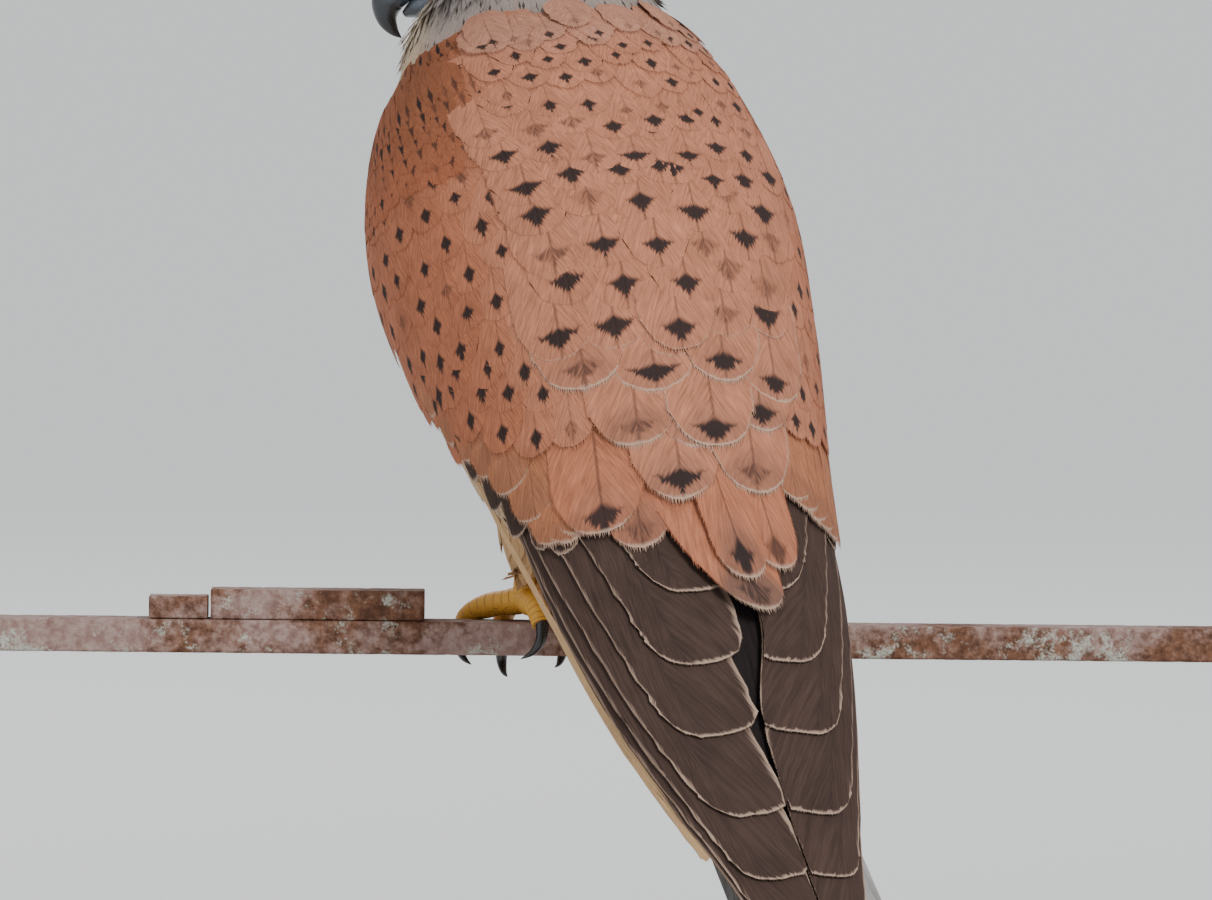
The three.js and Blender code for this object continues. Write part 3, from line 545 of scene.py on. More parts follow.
# One batch of feathers becomes one piece
class Plumes:
    def __init__(self):
        self.points, self.quads, self.tris, self.rim = [], [], [], []
        self.tint, self.mark, self.trim, self.vane, self.cell, self.normal = [], [], [], [], [], []
        self.count = 0
        self.feathers = 0

    def keep(self, points, vane, look, rim, normal):  # look is a feather's tint, mark and trim
        self.points.append(points)
        self.normal.append(normal)
        self.vane.append(vane)
        self.rim.append(rim)
        for store, value in zip((self.tint, self.mark, self.trim), look):
            row = np.ones((len(points), 4))
            row[:, :len(value)] = value
            store.append(row)
        self.cell.append(np.full(len(points), self.feathers))
        self.count += len(points)

    def add(self, upper, lower, vane, look, normal, barbs=0.0):
        inner, quads = vaneFaces(*upper.shape[:2])
        self.quads.append(quads + self.count)
        self.keep(np.concatenate([upper.reshape(-1, 3), lower[inner]]),
                  np.concatenate([vane.reshape(-1, 3), vane[inner]]), look,
                  np.concatenate([~inner.ravel(), np.zeros(inner.sum(), bool)]),
                  np.concatenate([normal.reshape(-1, 3), normal[inner]]))
        if barbs:
            self.addBarbs(upper, lower, vane, look, normal, barbs)
        self.feathers += 1

    # fine points past the rim, from half way down
    def addBarbs(self, upper, lower, vane, look, normal, size):
        rows, columns = upper.shape[:2]
        start = int(rows * 0.45)
        line = [(r, 0) for r in range(start, rows - 1)] + [(rows - 1, c) for c in range(columns)]
        line += [(r, columns - 1) for r in range(rows - 2, start - 1, -1)]
        line = np.array(line)
        path = upper[line[:, 0], line[:, 1]]
        inside = np.clip(line, [0, 1], [rows - 2, columns - 2])
        aside = unit(path - upper[inside[:, 0], inside[:, 1]])
        middle = columns // 2
        rear = np.clip(line[:, 0] - 2, 0, rows - 1)
        down = unit(upper[line[:, 0], middle] - upper[rear, middle])
        way = unit(0.55 * aside + down)
        under = unit(lower[inside[:, 0], inside[:, 1]] - upper[inside[:, 0], inside[:, 1]])
        reached = np.concatenate([[0], np.cumsum(np.linalg.norm(np.diff(path, axis=0), axis=1))])
        count = max(int(reached[-1] / barbSizes["pitch"]), 3)
        at = (np.arange(count) + rng.uniform(0.1, 0.9, count)) / count * reached[-1]

        def read(values):
            return np.stack([np.interp(at, reached, values[:, k]) for k in range(values.shape[1])], 1)

        facing = normal[line[:, 0], line[:, 1]]
        facing = np.where(np.abs(facing).sum(1)[:, None] > 0, facing, -under)
        base, way, under, facing = read(path), read(way), read(under), read(facing)
        place = read(vane[line[:, 0], line[:, 1]])
        alongRim = unit(np.gradient(base, axis=0))
        long = size * rng.uniform(0.5, 1.3, count)[:, None]
        half = barbSizes["half"] * rng.uniform(0.7, 1.2, count)[:, None]
        base = base - way * 0.35
        corners = np.stack([
            base - alongRim * half - under * 0.02, base + alongRim * half - under * 0.02,
            base + under * 0.05, base + way * (long + 0.35) + under * 0.12], 1)
        k = np.arange(count)[:, None] * 4 + self.count
        faces = np.concatenate([k + [0, 1, 3], k + [1, 2, 3], k + [2, 0, 3], k + [0, 2, 1]])
        across = np.cross(corners[:, 1] - corners[:, 0], corners[:, 3] - corners[:, 0])
        inverted = np.einsum("ij,ij->i", across, corners[:, 0] - corners.mean(1)) < 0
        turned = np.tile(inverted, 4)
        faces[turned] = faces[turned][:, ::-1]
        self.tris.append(faces)
        self.keep(corners.reshape(-1, 3), np.repeat(place, 4, axis=0), look, np.zeros(count * 4, bool),
                  np.repeat(facing, 4, axis=0))

    def piece(self, name, slot, replaced):
        mesh = meshOf(name, toRow(np.concatenate(self.points)), np.concatenate(self.quads),
                      np.concatenate(self.tris) if self.tris else ())
        setColours(mesh, "tint", np.concatenate(self.tint))
        setColours(mesh, "mark", np.concatenate(self.mark))
        setColours(mesh, "trim", np.concatenate(self.trim))
        vane = np.concatenate(self.vane)
        setVectors(mesh, "vane", vane)
        setSharp(mesh, np.concatenate(self.rim))
        setNormals(mesh, toRowVector(np.concatenate(self.normal)))
        # an atlas of equal cells, one for each feather
        cells = np.concatenate(self.cell)
        side = math.ceil(math.sqrt(self.feathers))
        margin = 0.06
        spot = np.stack([cells % side, cells // side], 1)
        inCell = np.stack([vane[:, 0] / 2 + 0.5, vane[:, 1]], 1) * (1 - 2 * margin) + margin
        setUv(mesh, "OFBake", (spot + inCell) / side)
        return addPiece(name, mesh, plumage, replaced)


def featherGrid(form, half, length, roundness=0.85, taper=0.1, rootWidth=0.4):
    rows, columns = forms[form]["rows"], forms[form]["columns"]
    y = (1 - (1 - np.linspace(0, 1, rows)) ** 1.5)[:, None]
    x = np.linspace(-1, 1, columns)[None, :]
    fall = half * roundness * (1 - np.sqrt(1 - 0.97 * x * x)) / length
    true = y - fall * y ** 5
    width = (rootWidth + (1 - rootWidth) * ramp(y, 0, 0.35)) * (1 - taper * y ** 4)
    outer = (np.abs(x) == 1) | (y == 1)
    shake = rng.uniform(-1, 1, (rows, columns)) * outer * forms[form]["ragged"]
    true = true + (y == 1) * shake / length
    wide = x * width * half + (np.abs(x) == 1) * np.sign(x) * shake
    edge = np.minimum((1 - np.abs(x)) * half * width, (1 - y) * length)
    return x + 0 * y, true, wide, edge


def layFeather(group, *, side, root, tip, across, half, lift, tint, form="short", tilt=0.0, camber=0.0,
               innerWeb=1.0, margin=None, thick=0.08, mark=(0.8, 0.3, 0.1, 0.0), trim, barbs):
    x, y, wide, edge = featherGrid(form, half, (tip - root) * stationLength)
    station = root + (tip - root) * y
    middle = across(station) if callable(across) else across + 0 * station
    web = np.where(x < 0, mix(1.0, innerWeb, ramp(y, 0.05, 0.5)), 1.0)
    distance = middle + wide * web
    if margin is not None:
        distance = np.maximum(distance, margin(station) + 0.1 * x)
    high = lift(station) + tilt * (distance - middle) - camber * x * x
    angle = angleAt(station, distance) * side
    upper = outline(station, angle, high)
    lower = outline(station, angle, high - thick * (1 - x * x))
    # short feathers take the body's shading, long ones keep their own
    normal = unit(outline(station, angle, 1.0) - outline(station, angle, 0.0)) * (form != "long")
    vane = np.stack([x, y, edge], -1)
    if side > 0:  # the two wings mirror each other, so the faces turn round on one
        upper, lower, vane, normal = (v[:, ::-1] for v in (upper, lower, vane, normal))
    group.add(upper, lower, vane, (tint, mark, trim), normal, barbs)


# a feather rises from under the row above and lies flat at its tip
def settle(top, sink, root, tip, over=0.0):
    def lift(station):
        y = np.clip((station - root) / (tip - root), 0, 1)
        return top - sink * (1 - y) ** 2 + over * ramp(y, 0.4, 0.95)
    return lift


def tinted(name, spread=0.03):
    return np.array(paint[name]) * (1 + rng.uniform(-spread, spread))


# Wings: flight feathers, tertials and tiers of coverts, all as distances over the outline from the ridge
outerEdge = {"station": [3, 4, 5, 6, 7, 8, 9, 10], "angle": [104, 102, 99, 95, 88, 76, 58, 50]}
wing = {
    "flightTips": [6.28, 6.74, 7.2, 7.72, 8.14, 8.5, 8.8, 9.05, 8.85],
    "flightRoot": 4.85, "outermost": 5.4, "spread": 27.6, "halfInner": 7.4, "halfOuter": 4.6,
    "innerWeb": 3.0, "step": 0.82, "tilt": 0.12,
    "ridge": {"left": lambda s: -1.2 + 0 * s, "right": lambda s: 1.9 + 5.5 * ramp(-s, -7.1, -6.45)},
    # tip station, angle, half width, root, lift at the tip, slant mm a station, strength of anchor, wash
    "tertials": {
        "left": [(5.96, 30, 8.6, 4.5, -0.3, 0, 0.5, 0.5),
                 (6.43, -12, 11.5, 5.0, 0.0, 17, 0.6, 0.95),
                 (5.82, 42, 11.0, 4.4, 0.7, 0, 0.9, 0.3)],
        "right": [(6.16, 21, 7.2, 4.6, 0.5, -5, 0.6, 0.2),
                  (6.25, 6, 6.8, 4.4, 1.1, -6, 0.95, 0.6)],
    },
    # edge of the chestnut coverts, by angle, and the dark primary coverts that show past it
    "greaterEdge": {
        "angle": [30, 37, 49, 63, 74, 95, 104],
        "station": [5.62, 5.67, 5.79, 5.77, 5.29, 4.56, 4.1],
    },
    "greaterAngles": [33, 39, 45, 51, 57, 63, 69, 75, 81, 87, 93, 99],
    "hand": [(5.84, 67), (5.74, 76), (5.54, 88), (5.24, 95), (4.92, 100)],
    "covertTips": [5.12, 4.84, 4.56, 4.28, 4.0, 3.72, 3.44, 3.16, 2.9], "covertPitch": 8.2,
    "lesserFrom": 2.76, "lesserTo": 1.56, "lesserStep": 0.115,
    # a near-black vane deep in the gap between the wings: painted shade, a dark sheet where there is only
    # shadow
    "gapShadeSheet": {"root": 5.4, "tip": 8.3, "half": 8.5, "across": 4.0, "lift": -4.5},
    "leadingStrip": {"root": 4.3, "tip": 7.9, "half": 1.5},
}


def outerDistance(station):
    angle = np.interp(station, outerEdge["station"], outerEdge["angle"])
    return arcAt(station, angle)


def flightPlace(index):
    last = len(wing["flightTips"]) - 1
    return wing["outermost"] + wing["spread"] * ((last - index) / last) ** 2.5


def flightLift(index, station):
    drop = 0
    for i in range(index):
        step = wing["step"] - wing["tilt"] * (flightPlace(i) - flightPlace(i + 1))
        tip = wing["flightTips"][i]
        drop = drop + step * (1 - ramp(station, tip + 0.04, tip + 0.5))
    return mix(-2, -0.5, ramp(station, 5.5, 6.6)) - drop * mix(0.85, 1, ramp(station, 5.2, 6))


def mantleBorder(station, side):  # where the back's feathers end and the wing's begin
    angle = 46.0 if side < 0 else mix(45.0, 37.0, ramp(station, 2.0, 4.0))
    return arcAt(station, angle + 0 * np.asarray(station))


def layFlights(group, side, ridge):
    for index, tip in enumerate(wing["flightTips"]):
        share = index / (len(wing["flightTips"]) - 1)
        layFeather(
            group, side=side, root=wing["flightRoot"], tip=tip, form="long", thick=0.35,
            across=lambda s, index=index: outerDistance(s) - flightPlace(index),
            half=mix(wing["halfInner"], wing["halfOuter"], share), innerWeb=wing["innerWeb"],
            lift=lambda s, index=index: flightLift(index, s), tilt=wing["tilt"],
            margin=ridge, tint=tinted("flight"), trim=(0.42, 0.35, rng.random(), 0.0), barbs=0.3)
    for k, (tip, angle) in enumerate(wing["hand"]):
        layFeather(
            group, side=side, root=tip - 1.3, tip=tip, half=4.2, across=arcAt(tip, float(angle)) - 2.5,
            lift=settle(-0.75 - 0.06 * k, 2.6, tip - 1.3, tip), tilt=0.04, tint=tinted("flight"),
            trim=(0.6, 0.3, rng.random(), 0.0), barbs=0.3)
    # painted shade: a near-black vane under the gap between the two wings stands for the shadow there
    inner = wing["gapShadeSheet"]
    layFeather(
        group, side=side, root=inner["root"], tip=inner["tip"], half=inner["half"], form="long", thick=0.3,
        across=inner["across"], lift=lambda s: inner["lift"] + 0 * s, tint=np.array(paint["dark"]) * 0.6,
        trim=(0.0, 0.0, 0.5, 0.0), barbs=0)
    strip = wing["leadingStrip"]
    layFeather(
        group, side=side, root=strip["root"], tip=strip["tip"], half=strip["half"], form="long", thick=0.5,
        across=lambda s: outerDistance(s) + 0.1, lift=lambda s: -1.6 + 0 * s, tint=tinted("buff"),
        barbs=0.2, trim=(0.0, 0.0, rng.random(), 0.0))


def layTertials(group, side, sideName):
    for tip, angle, half, root, top, slant, anchor, wash in wing["tertials"][sideName]:
        place = math.copysign(arcAt(tip, abs(float(angle))), angle)
        layFeather(
            group, side=side, root=root, tip=tip, half=half, form="long", thick=0.15, tilt=0.03,
            across=lambda s, place=place, tip=tip, slant=slant: place + slant * (tip - s),
            lift=settle(top, 3.6, root, tip), tint=mix(tinted("chestnut"), tinted("salmon"), 0.4),
            mark=(0.93, 0.44, 0.08, anchor), trim=(0.8, 0.7, rng.random(), wash), barbs=1.1)


def layCoverts(group, side):
    edge = wing["greaterEdge"]
    for k, angle in enumerate(wing["greaterAngles"]):
        tip = np.interp(angle, edge["angle"], edge["station"]) + rng.uniform(-0.03, 0.03)
        layFeather(
            group, side=side, root=tip - 1.3, tip=tip, across=arcAt(tip, float(angle)), half=6.4,
            lift=settle(0.04 * k, 2.6, tip - 1.3, tip), tilt=0.03,
            tint=mix(tinted("chestnut"), tinted("buff"), 0.12), mark=(0.9, 0.3, 0.05, 0.0),
            trim=(0.75, 0.25, rng.random(), 0.25), barbs=1.2)
    for row, tip in enumerate(wing["covertTips"]):
        inner = mantleBorder(tip, side) - 1.5
        outer = outerDistance(np.clip(tip, 3, 10))
        pitch = wing["covertPitch"]
        for n in range(int((outer - inner) / pitch) + 2):
            place = inner + (n + 0.5 * (row % 2)) * pitch + rng.uniform(-1.1, 1.1)
            curve = 0.42 * ramp(place / outer, 0.5, 1.0) * ramp(tip, 4.0, 5.0)
            end = tip - curve + rng.uniform(-0.08, 0.08)
            power = 0.95 if rng.random() < 0.86 else 0.5
            redder = 0.15 + 0.6 * ramp(place - inner, 0, 20)
            layFeather(
                group, side=side, root=end - 1.1, tip=end, across=place, half=pitch * 0.74,
                lift=settle(0.45, 0.8, end - 1.1, end), camber=0.05,
                tint=mix(tinted("salmon", 0.02), tinted("chestnut", 0.02), redder),
                mark=(0.885, rng.uniform(0.24, 0.33), rng.uniform(0.055, 0.08), power),
                trim=(0.0, 0.25, rng.random(), 0.0), barbs=1.2)
    tips = np.arange(wing["lesserFrom"], wing["lesserTo"], -wing["lesserStep"])
    for row, tip in enumerate(tips):
        inner = mantleBorder(tip, side) - 0.5
        outer = arcAt(tip, mix(88, 104, ramp(tip, 1.5, 2.4)))
        pitch = mix(3.3, 4.6, ramp(tip, 1.9, 2.7))
        deep = ramp(-tip, -2.76, -2.15)
        low = ramp(-tip, -2.1, -1.6)  # the first rows come out of the neck's plumage
        for n in range(int((outer - inner) / pitch) + 2):
            place = inner + (n + 0.5 * (row % 2)) * pitch + rng.uniform(-0.5, 0.5)
            end = tip + rng.uniform(-0.035, 0.035)
            rust = 0.8 * deep * ramp(place - inner, 0, 10) * (1 - 0.7 * ramp(place - inner, 18, 32))
            length = mix(0.34, 0.6, ramp(tip, 1.9, 2.7))
            layFeather(
                group, side=side, root=end - length, tip=end, across=place, half=pitch * 0.72, form="small",
                lift=settle(0.55 - 2.1 * low, 0.9 + 1.2 * low, end - length, end), camber=0.05,
                tint=mix(mix(tinted("salmon", 0.03), tinted("chestnut", 0.03), ramp(place - inner, -4, 10)),
                         tinted("rufous", 0.05), rust),
                mark=(0.74, mix(0.34, 0.30, deep), mix(0.12, 0.26, deep), rng.uniform(0.4, 1.0)),
                trim=(0.0, 0.2, rng.random(), 0.0), barbs=0.9)


def wingFeathers(sideName, side):
    group = Plumes()
    layFlights(group, side, wing["ridge"][sideName])
    layTertials(group, side, sideName)
    layCoverts(group, side)
    group.piece(f"wing_{sideName}_feathers", "wing_feathers", (f"wing_{sideName}",))


mantle = {
    "tips": [5.62, 5.24, 4.86, 4.5, 4.16, 3.84, 3.54, 3.26, 3.0, 2.75, 2.52, 2.3, 2.1, 1.92, 1.78],
    "most": 8,
    # the line where the right tract of scapulars lies over the left one
    "fold": {"station": [3.4, 4.04, 4.93, 5.42, 6.2], "across": [0, -9.6, -3.6, 0.5, 1]},
}


def layMantleFeather(group, tract, tip, place, away, pitch, first):
    size = min(mix(0.6, 1.35, ramp(tip, 1.6, 4.2)), tip - 1.4)
    large = ramp(tip, 4.2, 5.3)
    end = tip - 0.0001 * place * place + rng.uniform(-0.09, 0.09)
    onFold = tract == "right" and first and tip > 4.8
    over = 0.5 * math.exp(-away / 9) * ramp(tip, 3.6, 4.4) if tract == "right" else 0.0
    sink = mix(0.8, 3.9, ramp(-tip, -2.9, -2.1))
    nape = 0.2 * ramp(-end, -2.0, -1.8)
    power = (0.95 if rng.random() < 0.68 else 0.5) * (1 - 0.35 * nape)
    wide = mix(0.34, 0.54, ramp(tip, 2.2, 3.4)) * rng.uniform(0.72, 1.1)
    high = 0.072 * rng.uniform(0.75, 1.05)
    tint = mix(tinted("salmon", 0.02), tinted("chestnut", 0.02), 0.12 * rng.random())
    layFeather(
        group, side=1, root=end - size, tip=end, across=place, half=pitch * 0.8,
        lift=settle(0.8, sink, end - size, end, over), camber=0.05, tint=mix(tint, tinted("nape"), nape),
        mark=(mix(mix(0.875, 0.7, nape), 0.90, large), mix(wide, 0.18, nape), mix(high, 0.24, nape), power),
        trim=(0.45 if onFold else 0.8 * large, mix(0.25, 0.6, ramp(tip, 2.6, 3.4)), rng.random(),
              0.4 * large),
        barbs=mix(1.0, 1.3, large))


def mantleFeathers():
    group = Plumes()
    for tract, side in sides:
        for row, tip in enumerate(mantle["tips"]):
            fold = np.interp(tip, mantle["fold"]["station"], mantle["fold"]["across"])
            pitch = mix(6.4, 11.4, ramp(tip, 1.6, 3.8)) + 3.0 * ramp(tip, 4.3, 4.9)
            border = mantleBorder(tip, side) * (1 - 0.62 * ramp(tip, 4.5, 5.9))
            for n in range(mantle["most"] + 1):
                away = (n + (0.1 if row % 2 else 0.6)) * pitch
                place = fold + side * away + rng.uniform(-1.3, 1.3)
                if abs(place) > border or n == mantle["most"]:
                    break
                layMantleFeather(group, tract, tip, place, away, pitch, n == 0)
    group.piece("mantle_feathers", "back_feathers", ("mantle",))


for sideName, side in sides:
    wingFeathers(sideName, side)
mantleFeathers()
print("wings and mantle laid")


# Head frame: forward along the bill, side to the bird's right, up through the crown
head = {
    "at": (-1.5, 44, 150), "yaw": 50, "pitch": 20,
    "forward": [-25, -21.5, -13, -4, 5, 11.5, 15.5, 18],
    "halfWidth": [7, 13.5, 18.4, 19.8, 18.4, 14.6, 10.6, 6.8],
    "top": [7, 13.5, 18.6, 20.2, 19.4, 15.4, 10.8, 6.4],
    "bottom": [7, 14, 19, 20.6, 19, 15, 11.2, 7.8],
    "brow": {"height": 1.1, "forward": 8, "length": 5, "angle": 128, "spread": 14},
    "seat": {"forward": -8, "up": -3, "radius": 17},
}
eye = {"radius": 5.4, "at": (6.4, 12.5, 3.6), "turn": 20, "pupil": 0.46, "iris": 0.80}
headYaw, headPitch = math.radians(head["yaw"]), math.radians(head["pitch"])
headLevel = np.array([-math.sin(headYaw), math.cos(headYaw), 0])
headForward = headLevel * math.cos(headPitch) - np.array([0, 0, math.sin(headPitch)])
headUp = headLevel * math.sin(headPitch) + np.array([0, 0, math.cos(headPitch)])
headSide = np.array([math.cos(headYaw), math.sin(headYaw), 0])
headAt = np.array(head["at"], float)


def headPoint(forward, side, up):
    f, s, u = np.broadcast_arrays(np.asarray(forward, float), side, up)
    return headAt + f[..., None] * headForward + s[..., None] * headSide + u[..., None] * headUp


def inHead(points):  # bird's frame to forward, side, up
    away = points - headAt
    return away @ headForward, away @ headSide, away @ headUp


def skullRings(inset, steps=26, around=40):
    s = np.linspace(0, 7, steps)[:, None]
    a = np.radians(np.arange(around) * 360 / around)[None, :]
    forward = along(head["forward"], s)
    brow = head["brow"]
    off = (np.abs(180 - np.degrees(a)) - brow["angle"]) / brow["spread"]
    ridge = brow["height"] * np.exp(-((forward - brow["forward"]) / brow["length"]) ** 2 - off * off)
    tall = np.where(np.cos(a) > 0, along(head["top"], s), along(head["bottom"], s))
    ends = np.where(s == 0, inset, np.where(s == 7, -inset, 0))
    return headPoint(forward + ends + 0 * a, (along(head["halfWidth"], s) - inset + ridge) * np.sin(a),
                     (tall - inset + 0.4 * ridge) * np.cos(a))


tail = {
    "root": (3, -35, 14), "tip": (12, -131, -108), "rank": 6, "half": 8.0, "fan": 1.25,
    "graduation": 0.028, "camber": 0.006, "step": 0.82, "thick": 0.3,
    "rump": [(-0.12, 17, 8.5), (0, 16.5, 8), (0.1, 14.5, 6), (0.2, 12.5, 4.6), (0.28, 10.5, 3.8)],
}
tailRoot = np.array(tail["root"], float)
tailDown = np.array(tail["tip"]) - tailRoot
tailLength = np.linalg.norm(tailDown)
tailDown = tailDown / tailLength
tailOut = unit(-np.cross([1, 0, 0], tailDown))
tailAcross = np.cross(tailDown, tailOut)


def tailPoint(down, across, lift):
    d, a, h = np.broadcast_arrays(np.asarray(down, float), across, lift)
    h = h - tail["camber"] * a * a
    centreLine = tailRoot + d[..., None] * tailLength * tailDown
    return centreLine + a[..., None] * tailAcross + h[..., None] * tailOut


legs = {
    "footX": 14.5,
    "shank": [[0, 0.2, 5.4], [0, 0.2, 8.8], [0, -1, 14], [0, -2.5, 21], [0, -3.5, 27]],
    "shankRadii": [3.4, 3.1, 2.7, 2.8, 3.0],
    "thigh": [[1.5, -7, 42], [1, -6, 32], [0, -4.4, 22], [0, -0.8, 11.5]],
    "thighRadii": [13, 11.5, 8.6, 4.8],
    "toes": {
        "outer": [[0, 0.5, 5.4], [-4, 2.5, 4.2], [-9, 5.6, 3.2], [-13.5, 8.4, 0.6], [-15.2, 10.2, -3.6]],
        "middle": [[0, 0.5, 5.4], [-1.5, 4, 4.4], [-4, 8.6, 3.4], [-5.6, 11, -0.8], [-5.8, 11.2, -6]],
        "inner": [[0, 0.5, 5.4], [2.5, 4, 4.2], [5.6, 7.8, 3.2], [7.6, 10.6, -0.2], [8, 11, -4]],
        "hind": [[0, 0.5, 5.4], [0.6, -3, 4.4], [2.4, -7.4, 3.2], [3.4, -9.9, -0.2]],
    },
    "toeRadii": [3.2, 2.8, 2.6, 2.2, 1.9],
    "claws": {
        "outer": [[-15.4, 10.5, -3.4], [-15.3, 11, -6.8], [-14.2, 10, -9.1], [-12.6, 8.4, -10.4]],
        "middle": [[-5.8, 11.2, -5.4], [-5.7, 11.2, -9.6], [-5.2, 9.6, -12], [-4.4, 7.4, -13]],
        "inner": [[8, 11, -3.4], [8, 11, -7.4], [7.4, 9.6, -9.8], [6.4, 7.6, -10.8]],
        "hind": [[3.5, -10, 0], [3.2, -11.2, -3.6], [1.4, -10.9, -6.4], [-1.2, -9.4, -8]],
    },
    "clawRadii": [1.5, 1.6, 1.2, 0.72, 0.12],
}


def legPoint(points, side):  # leg points line up with the perch, so they turn back against the bird's yaw
    p = np.asarray(points, float) * [(-1 if side > 0 else 1), 1, 1]
    p = p + [side * legs["footX"], 0, 0]
    return p @ yawMatrix


def limbRings(points, radii, steps, around, bulge=None):
    points = np.asarray(points, float)
    t = np.linspace(0, len(points) - 1, steps)
    path = np.stack([along(points[:, k], t) for k in range(3)], 1)
    radius = along(radii, t / (len(points) - 1) * (len(radii) - 1))
    tangent = unit(np.gradient(path, axis=0), 0)
    normal = np.cross(tangent[0], [0.3, 0.9, 0.2])
    rings = []
    for k in range(steps):
        normal = unit(normal - tangent[k] * (normal @ tangent[k]))
        other = np.cross(tangent[k], normal)
        a = np.arange(around) * 2 * np.pi / around
        r = np.full(around, radius[k])
        out = np.cos(a)[:, None] * normal + np.sin(a)[:, None] * other
        if bulge is not None:
            r = r * bulge(k / (steps - 1), out)
        rings.append(path[k] + r[:, None] * out)
    return np.array(rings)


# Skin: one closed surface of the body, neck, head and thighs, inside the plumage by its depth
skinSizes = {"depth": 2.6, "underWing": 5.6, "head": 1.3, "thigh": 1.8, "voxel": 0.0021, "smoothing": 6}


def torsoRings():
    u = np.arange(1.2, 6.61, 0.2)[:, None]
    phi = np.arange(-180, 180, 9.0)[None, :]
    wingCover = ramp(np.abs(phi), 40, 50) * (1 - ramp(np.abs(phi), 96, 112)) * ramp(u, 1.6, 2.2)
    inset = mix(skinSizes["depth"], skinSizes["underWing"], wingCover)
    inset = inset + 4.0 * ramp(u, 4.6, 5.4) + 12 * ramp(u, 5.4, 6.6)
    return outline(u + 0 * phi, phi + 0 * u, -inset)


def neckRings():
    phi = np.arange(-180, 180, 9.0)
    rings = [outline(np.full(len(phi), u), phi, -2.2) for u in (1.7, 1.5, 1.2, 0.9)]
    back = unit(np.array([0, -1, 0]) - headUp * (-headUp[1]))
    across = -np.cross(headUp, back)
    seat = head["seat"]
    a = np.radians(phi)
    middle = headPoint(seat["forward"], 0, seat["up"])
    ring = middle + (seat["radius"] - 1) * (np.cos(a)[:, None] * back + np.sin(a)[:, None] * across)
    rings.append(mix(outline(np.full(len(phi), 0.6), phi, -0.2), ring, 0.36))
    rings.append(ring)
    return np.array(rings)


def rumpRings():
    a = np.radians(np.arange(0, 360, 12.0))
    return np.array([tailPoint(np.full(len(a), d), (w - 2) * np.sin(a), (h - 2) * np.cos(a) - 3)
                     for d, w, h in tail["rump"]])


def joinedMesh(name, meshes):
    bm = bmesh.new()
    for mesh in meshes:
        bm.from_mesh(mesh)
        bpy.data.meshes.remove(mesh)
    mesh = bpy.data.meshes.new(name)
    bm.to_mesh(mesh)
    bm.free()
    return mesh


def evaluated(piece):  # modifiers applied, as a plain mesh
    depsgraph = bpy.context.evaluated_depsgraph_get()
    mesh = bpy.data.meshes.new_from_object(piece.evaluated_get(depsgraph), depsgraph=depsgraph)
    piece.modifiers.clear()
    return mesh


def makeSkinMesh():
    shapes = [torsoRings(), neckRings(), skullRings(skinSizes["head"]), rumpRings()]
    for side in (-1, 1):
        line = legPoint(legs["thigh"], side)
        shapes.append(limbRings(line, np.array(legs["thighRadii"]) - skinSizes["thigh"], 14, 20))
    mesh = joinedMesh("skin", [loftMesh(f"part{k}", rings) for k, rings in enumerate(shapes)])
    piece = bpy.data.objects.new("skinRough", mesh)
    bpy.context.scene.collection.objects.link(piece)
    remesh = piece.modifiers.new("voxels", "REMESH")
    remesh.mode = "VOXEL"
    remesh.voxel_size = skinSizes["voxel"]
    smooth = piece.modifiers.new("smooth", "SMOOTH")
    smooth.factor = 0.5
    smooth.iterations = skinSizes["smoothing"]
    result = evaluated(piece)
    bpy.data.objects.remove(piece)
    result.name = "skin"
    return result


outlineGrid = np.meshgrid(np.arange(0, 8.01, 0.1), np.arange(-180, 180, 5.0), indexing="ij")
outlineGrid = np.stack(outlineGrid, -1).reshape(-1, 2)
outlineTree = KDTree(len(outlineGrid))
for k, point in enumerate(outline(outlineGrid[:, 0], outlineGrid[:, 1])):
    outlineTree.insert(point, k)
outlineTree.balance()


def stationsOf(points):  # nearest station and angle on the outline
    found = np.array([outlineTree.find(p)[1] for p in points])
    return outlineGrid[found, 0], outlineGrid[found, 1]


def headShare(points):  # 1 on the head, 0 on the body
    f, _, u = inHead(points)
    behind = mix(-21.0, 2.0, ramp(-u, 5, 18))
    away = np.linalg.norm(points - headPoint(-3, 0, 0), axis=1)
    return ramp(f, behind - 4, behind + 5) * ramp(-away, -29, -24)


def patch(value, centre, spread):
    return np.exp(-((value - centre) / spread) ** 2)


def painted(tint, name, amount, shade=1.0):  # a tint with so much of a paint over it
    return mix(tint, np.array(paint[name]) * shade, amount[:, None])


def headLook(points):  # tint and mark over the head
    f, s, u = inHead(points)
    side = np.abs(s)
    n = len(points)
    crown = np.maximum(ramp(u + 0.25 * f, -2, 6), 0.9 * ramp(-f, 9, 16) * ramp(u, -18, -9))
    tint = painted(np.array(paint["cheek"]), "headGrey", crown)
    throat = ramp(-u, 3, 9) * (1 - ramp(-f, 4, 12)) * (1 - ramp(side, 13, 17) * ramp(-f, -3, 2))
    tint = painted(tint, "cream", throat)
    fore = 0.75 * ramp(f, 14.5, 17.5) * ramp(u, -3, 1)
    tint = painted(tint, "cream", 0.7 * fore)
    # moustache from in front of the eye down the face
    line = np.interp(u, [-15, -8, -1, 3], [5.5, 8.5, 11, 13])
    moustache = patch(f, line, 3.5) * ramp(-u, -4.5, -1) * (1 - ramp(-u, 11, 16)) * ramp(side, 7, 10)
    behindEye = patch(u, 4.5, 1.4) * ramp(-f, -3, 1) * (1 - ramp(-f, 8, 13)) * ramp(side, 10, 13)
    dark = np.clip(moustache + 0.6 * behindEye, 0, 1)
    tint = painted(tint, "dark", 0.9 * dark, 1.6)
    power = np.clip(0.85 * crown * (1 - fore) + 0.5 * (1 - crown) * (1 - throat), 0, 1)
    mark = np.stack([np.full(n, 0.6), np.full(n, 0.16), np.full(n, 0.3), power], 1)
    return tint, mark


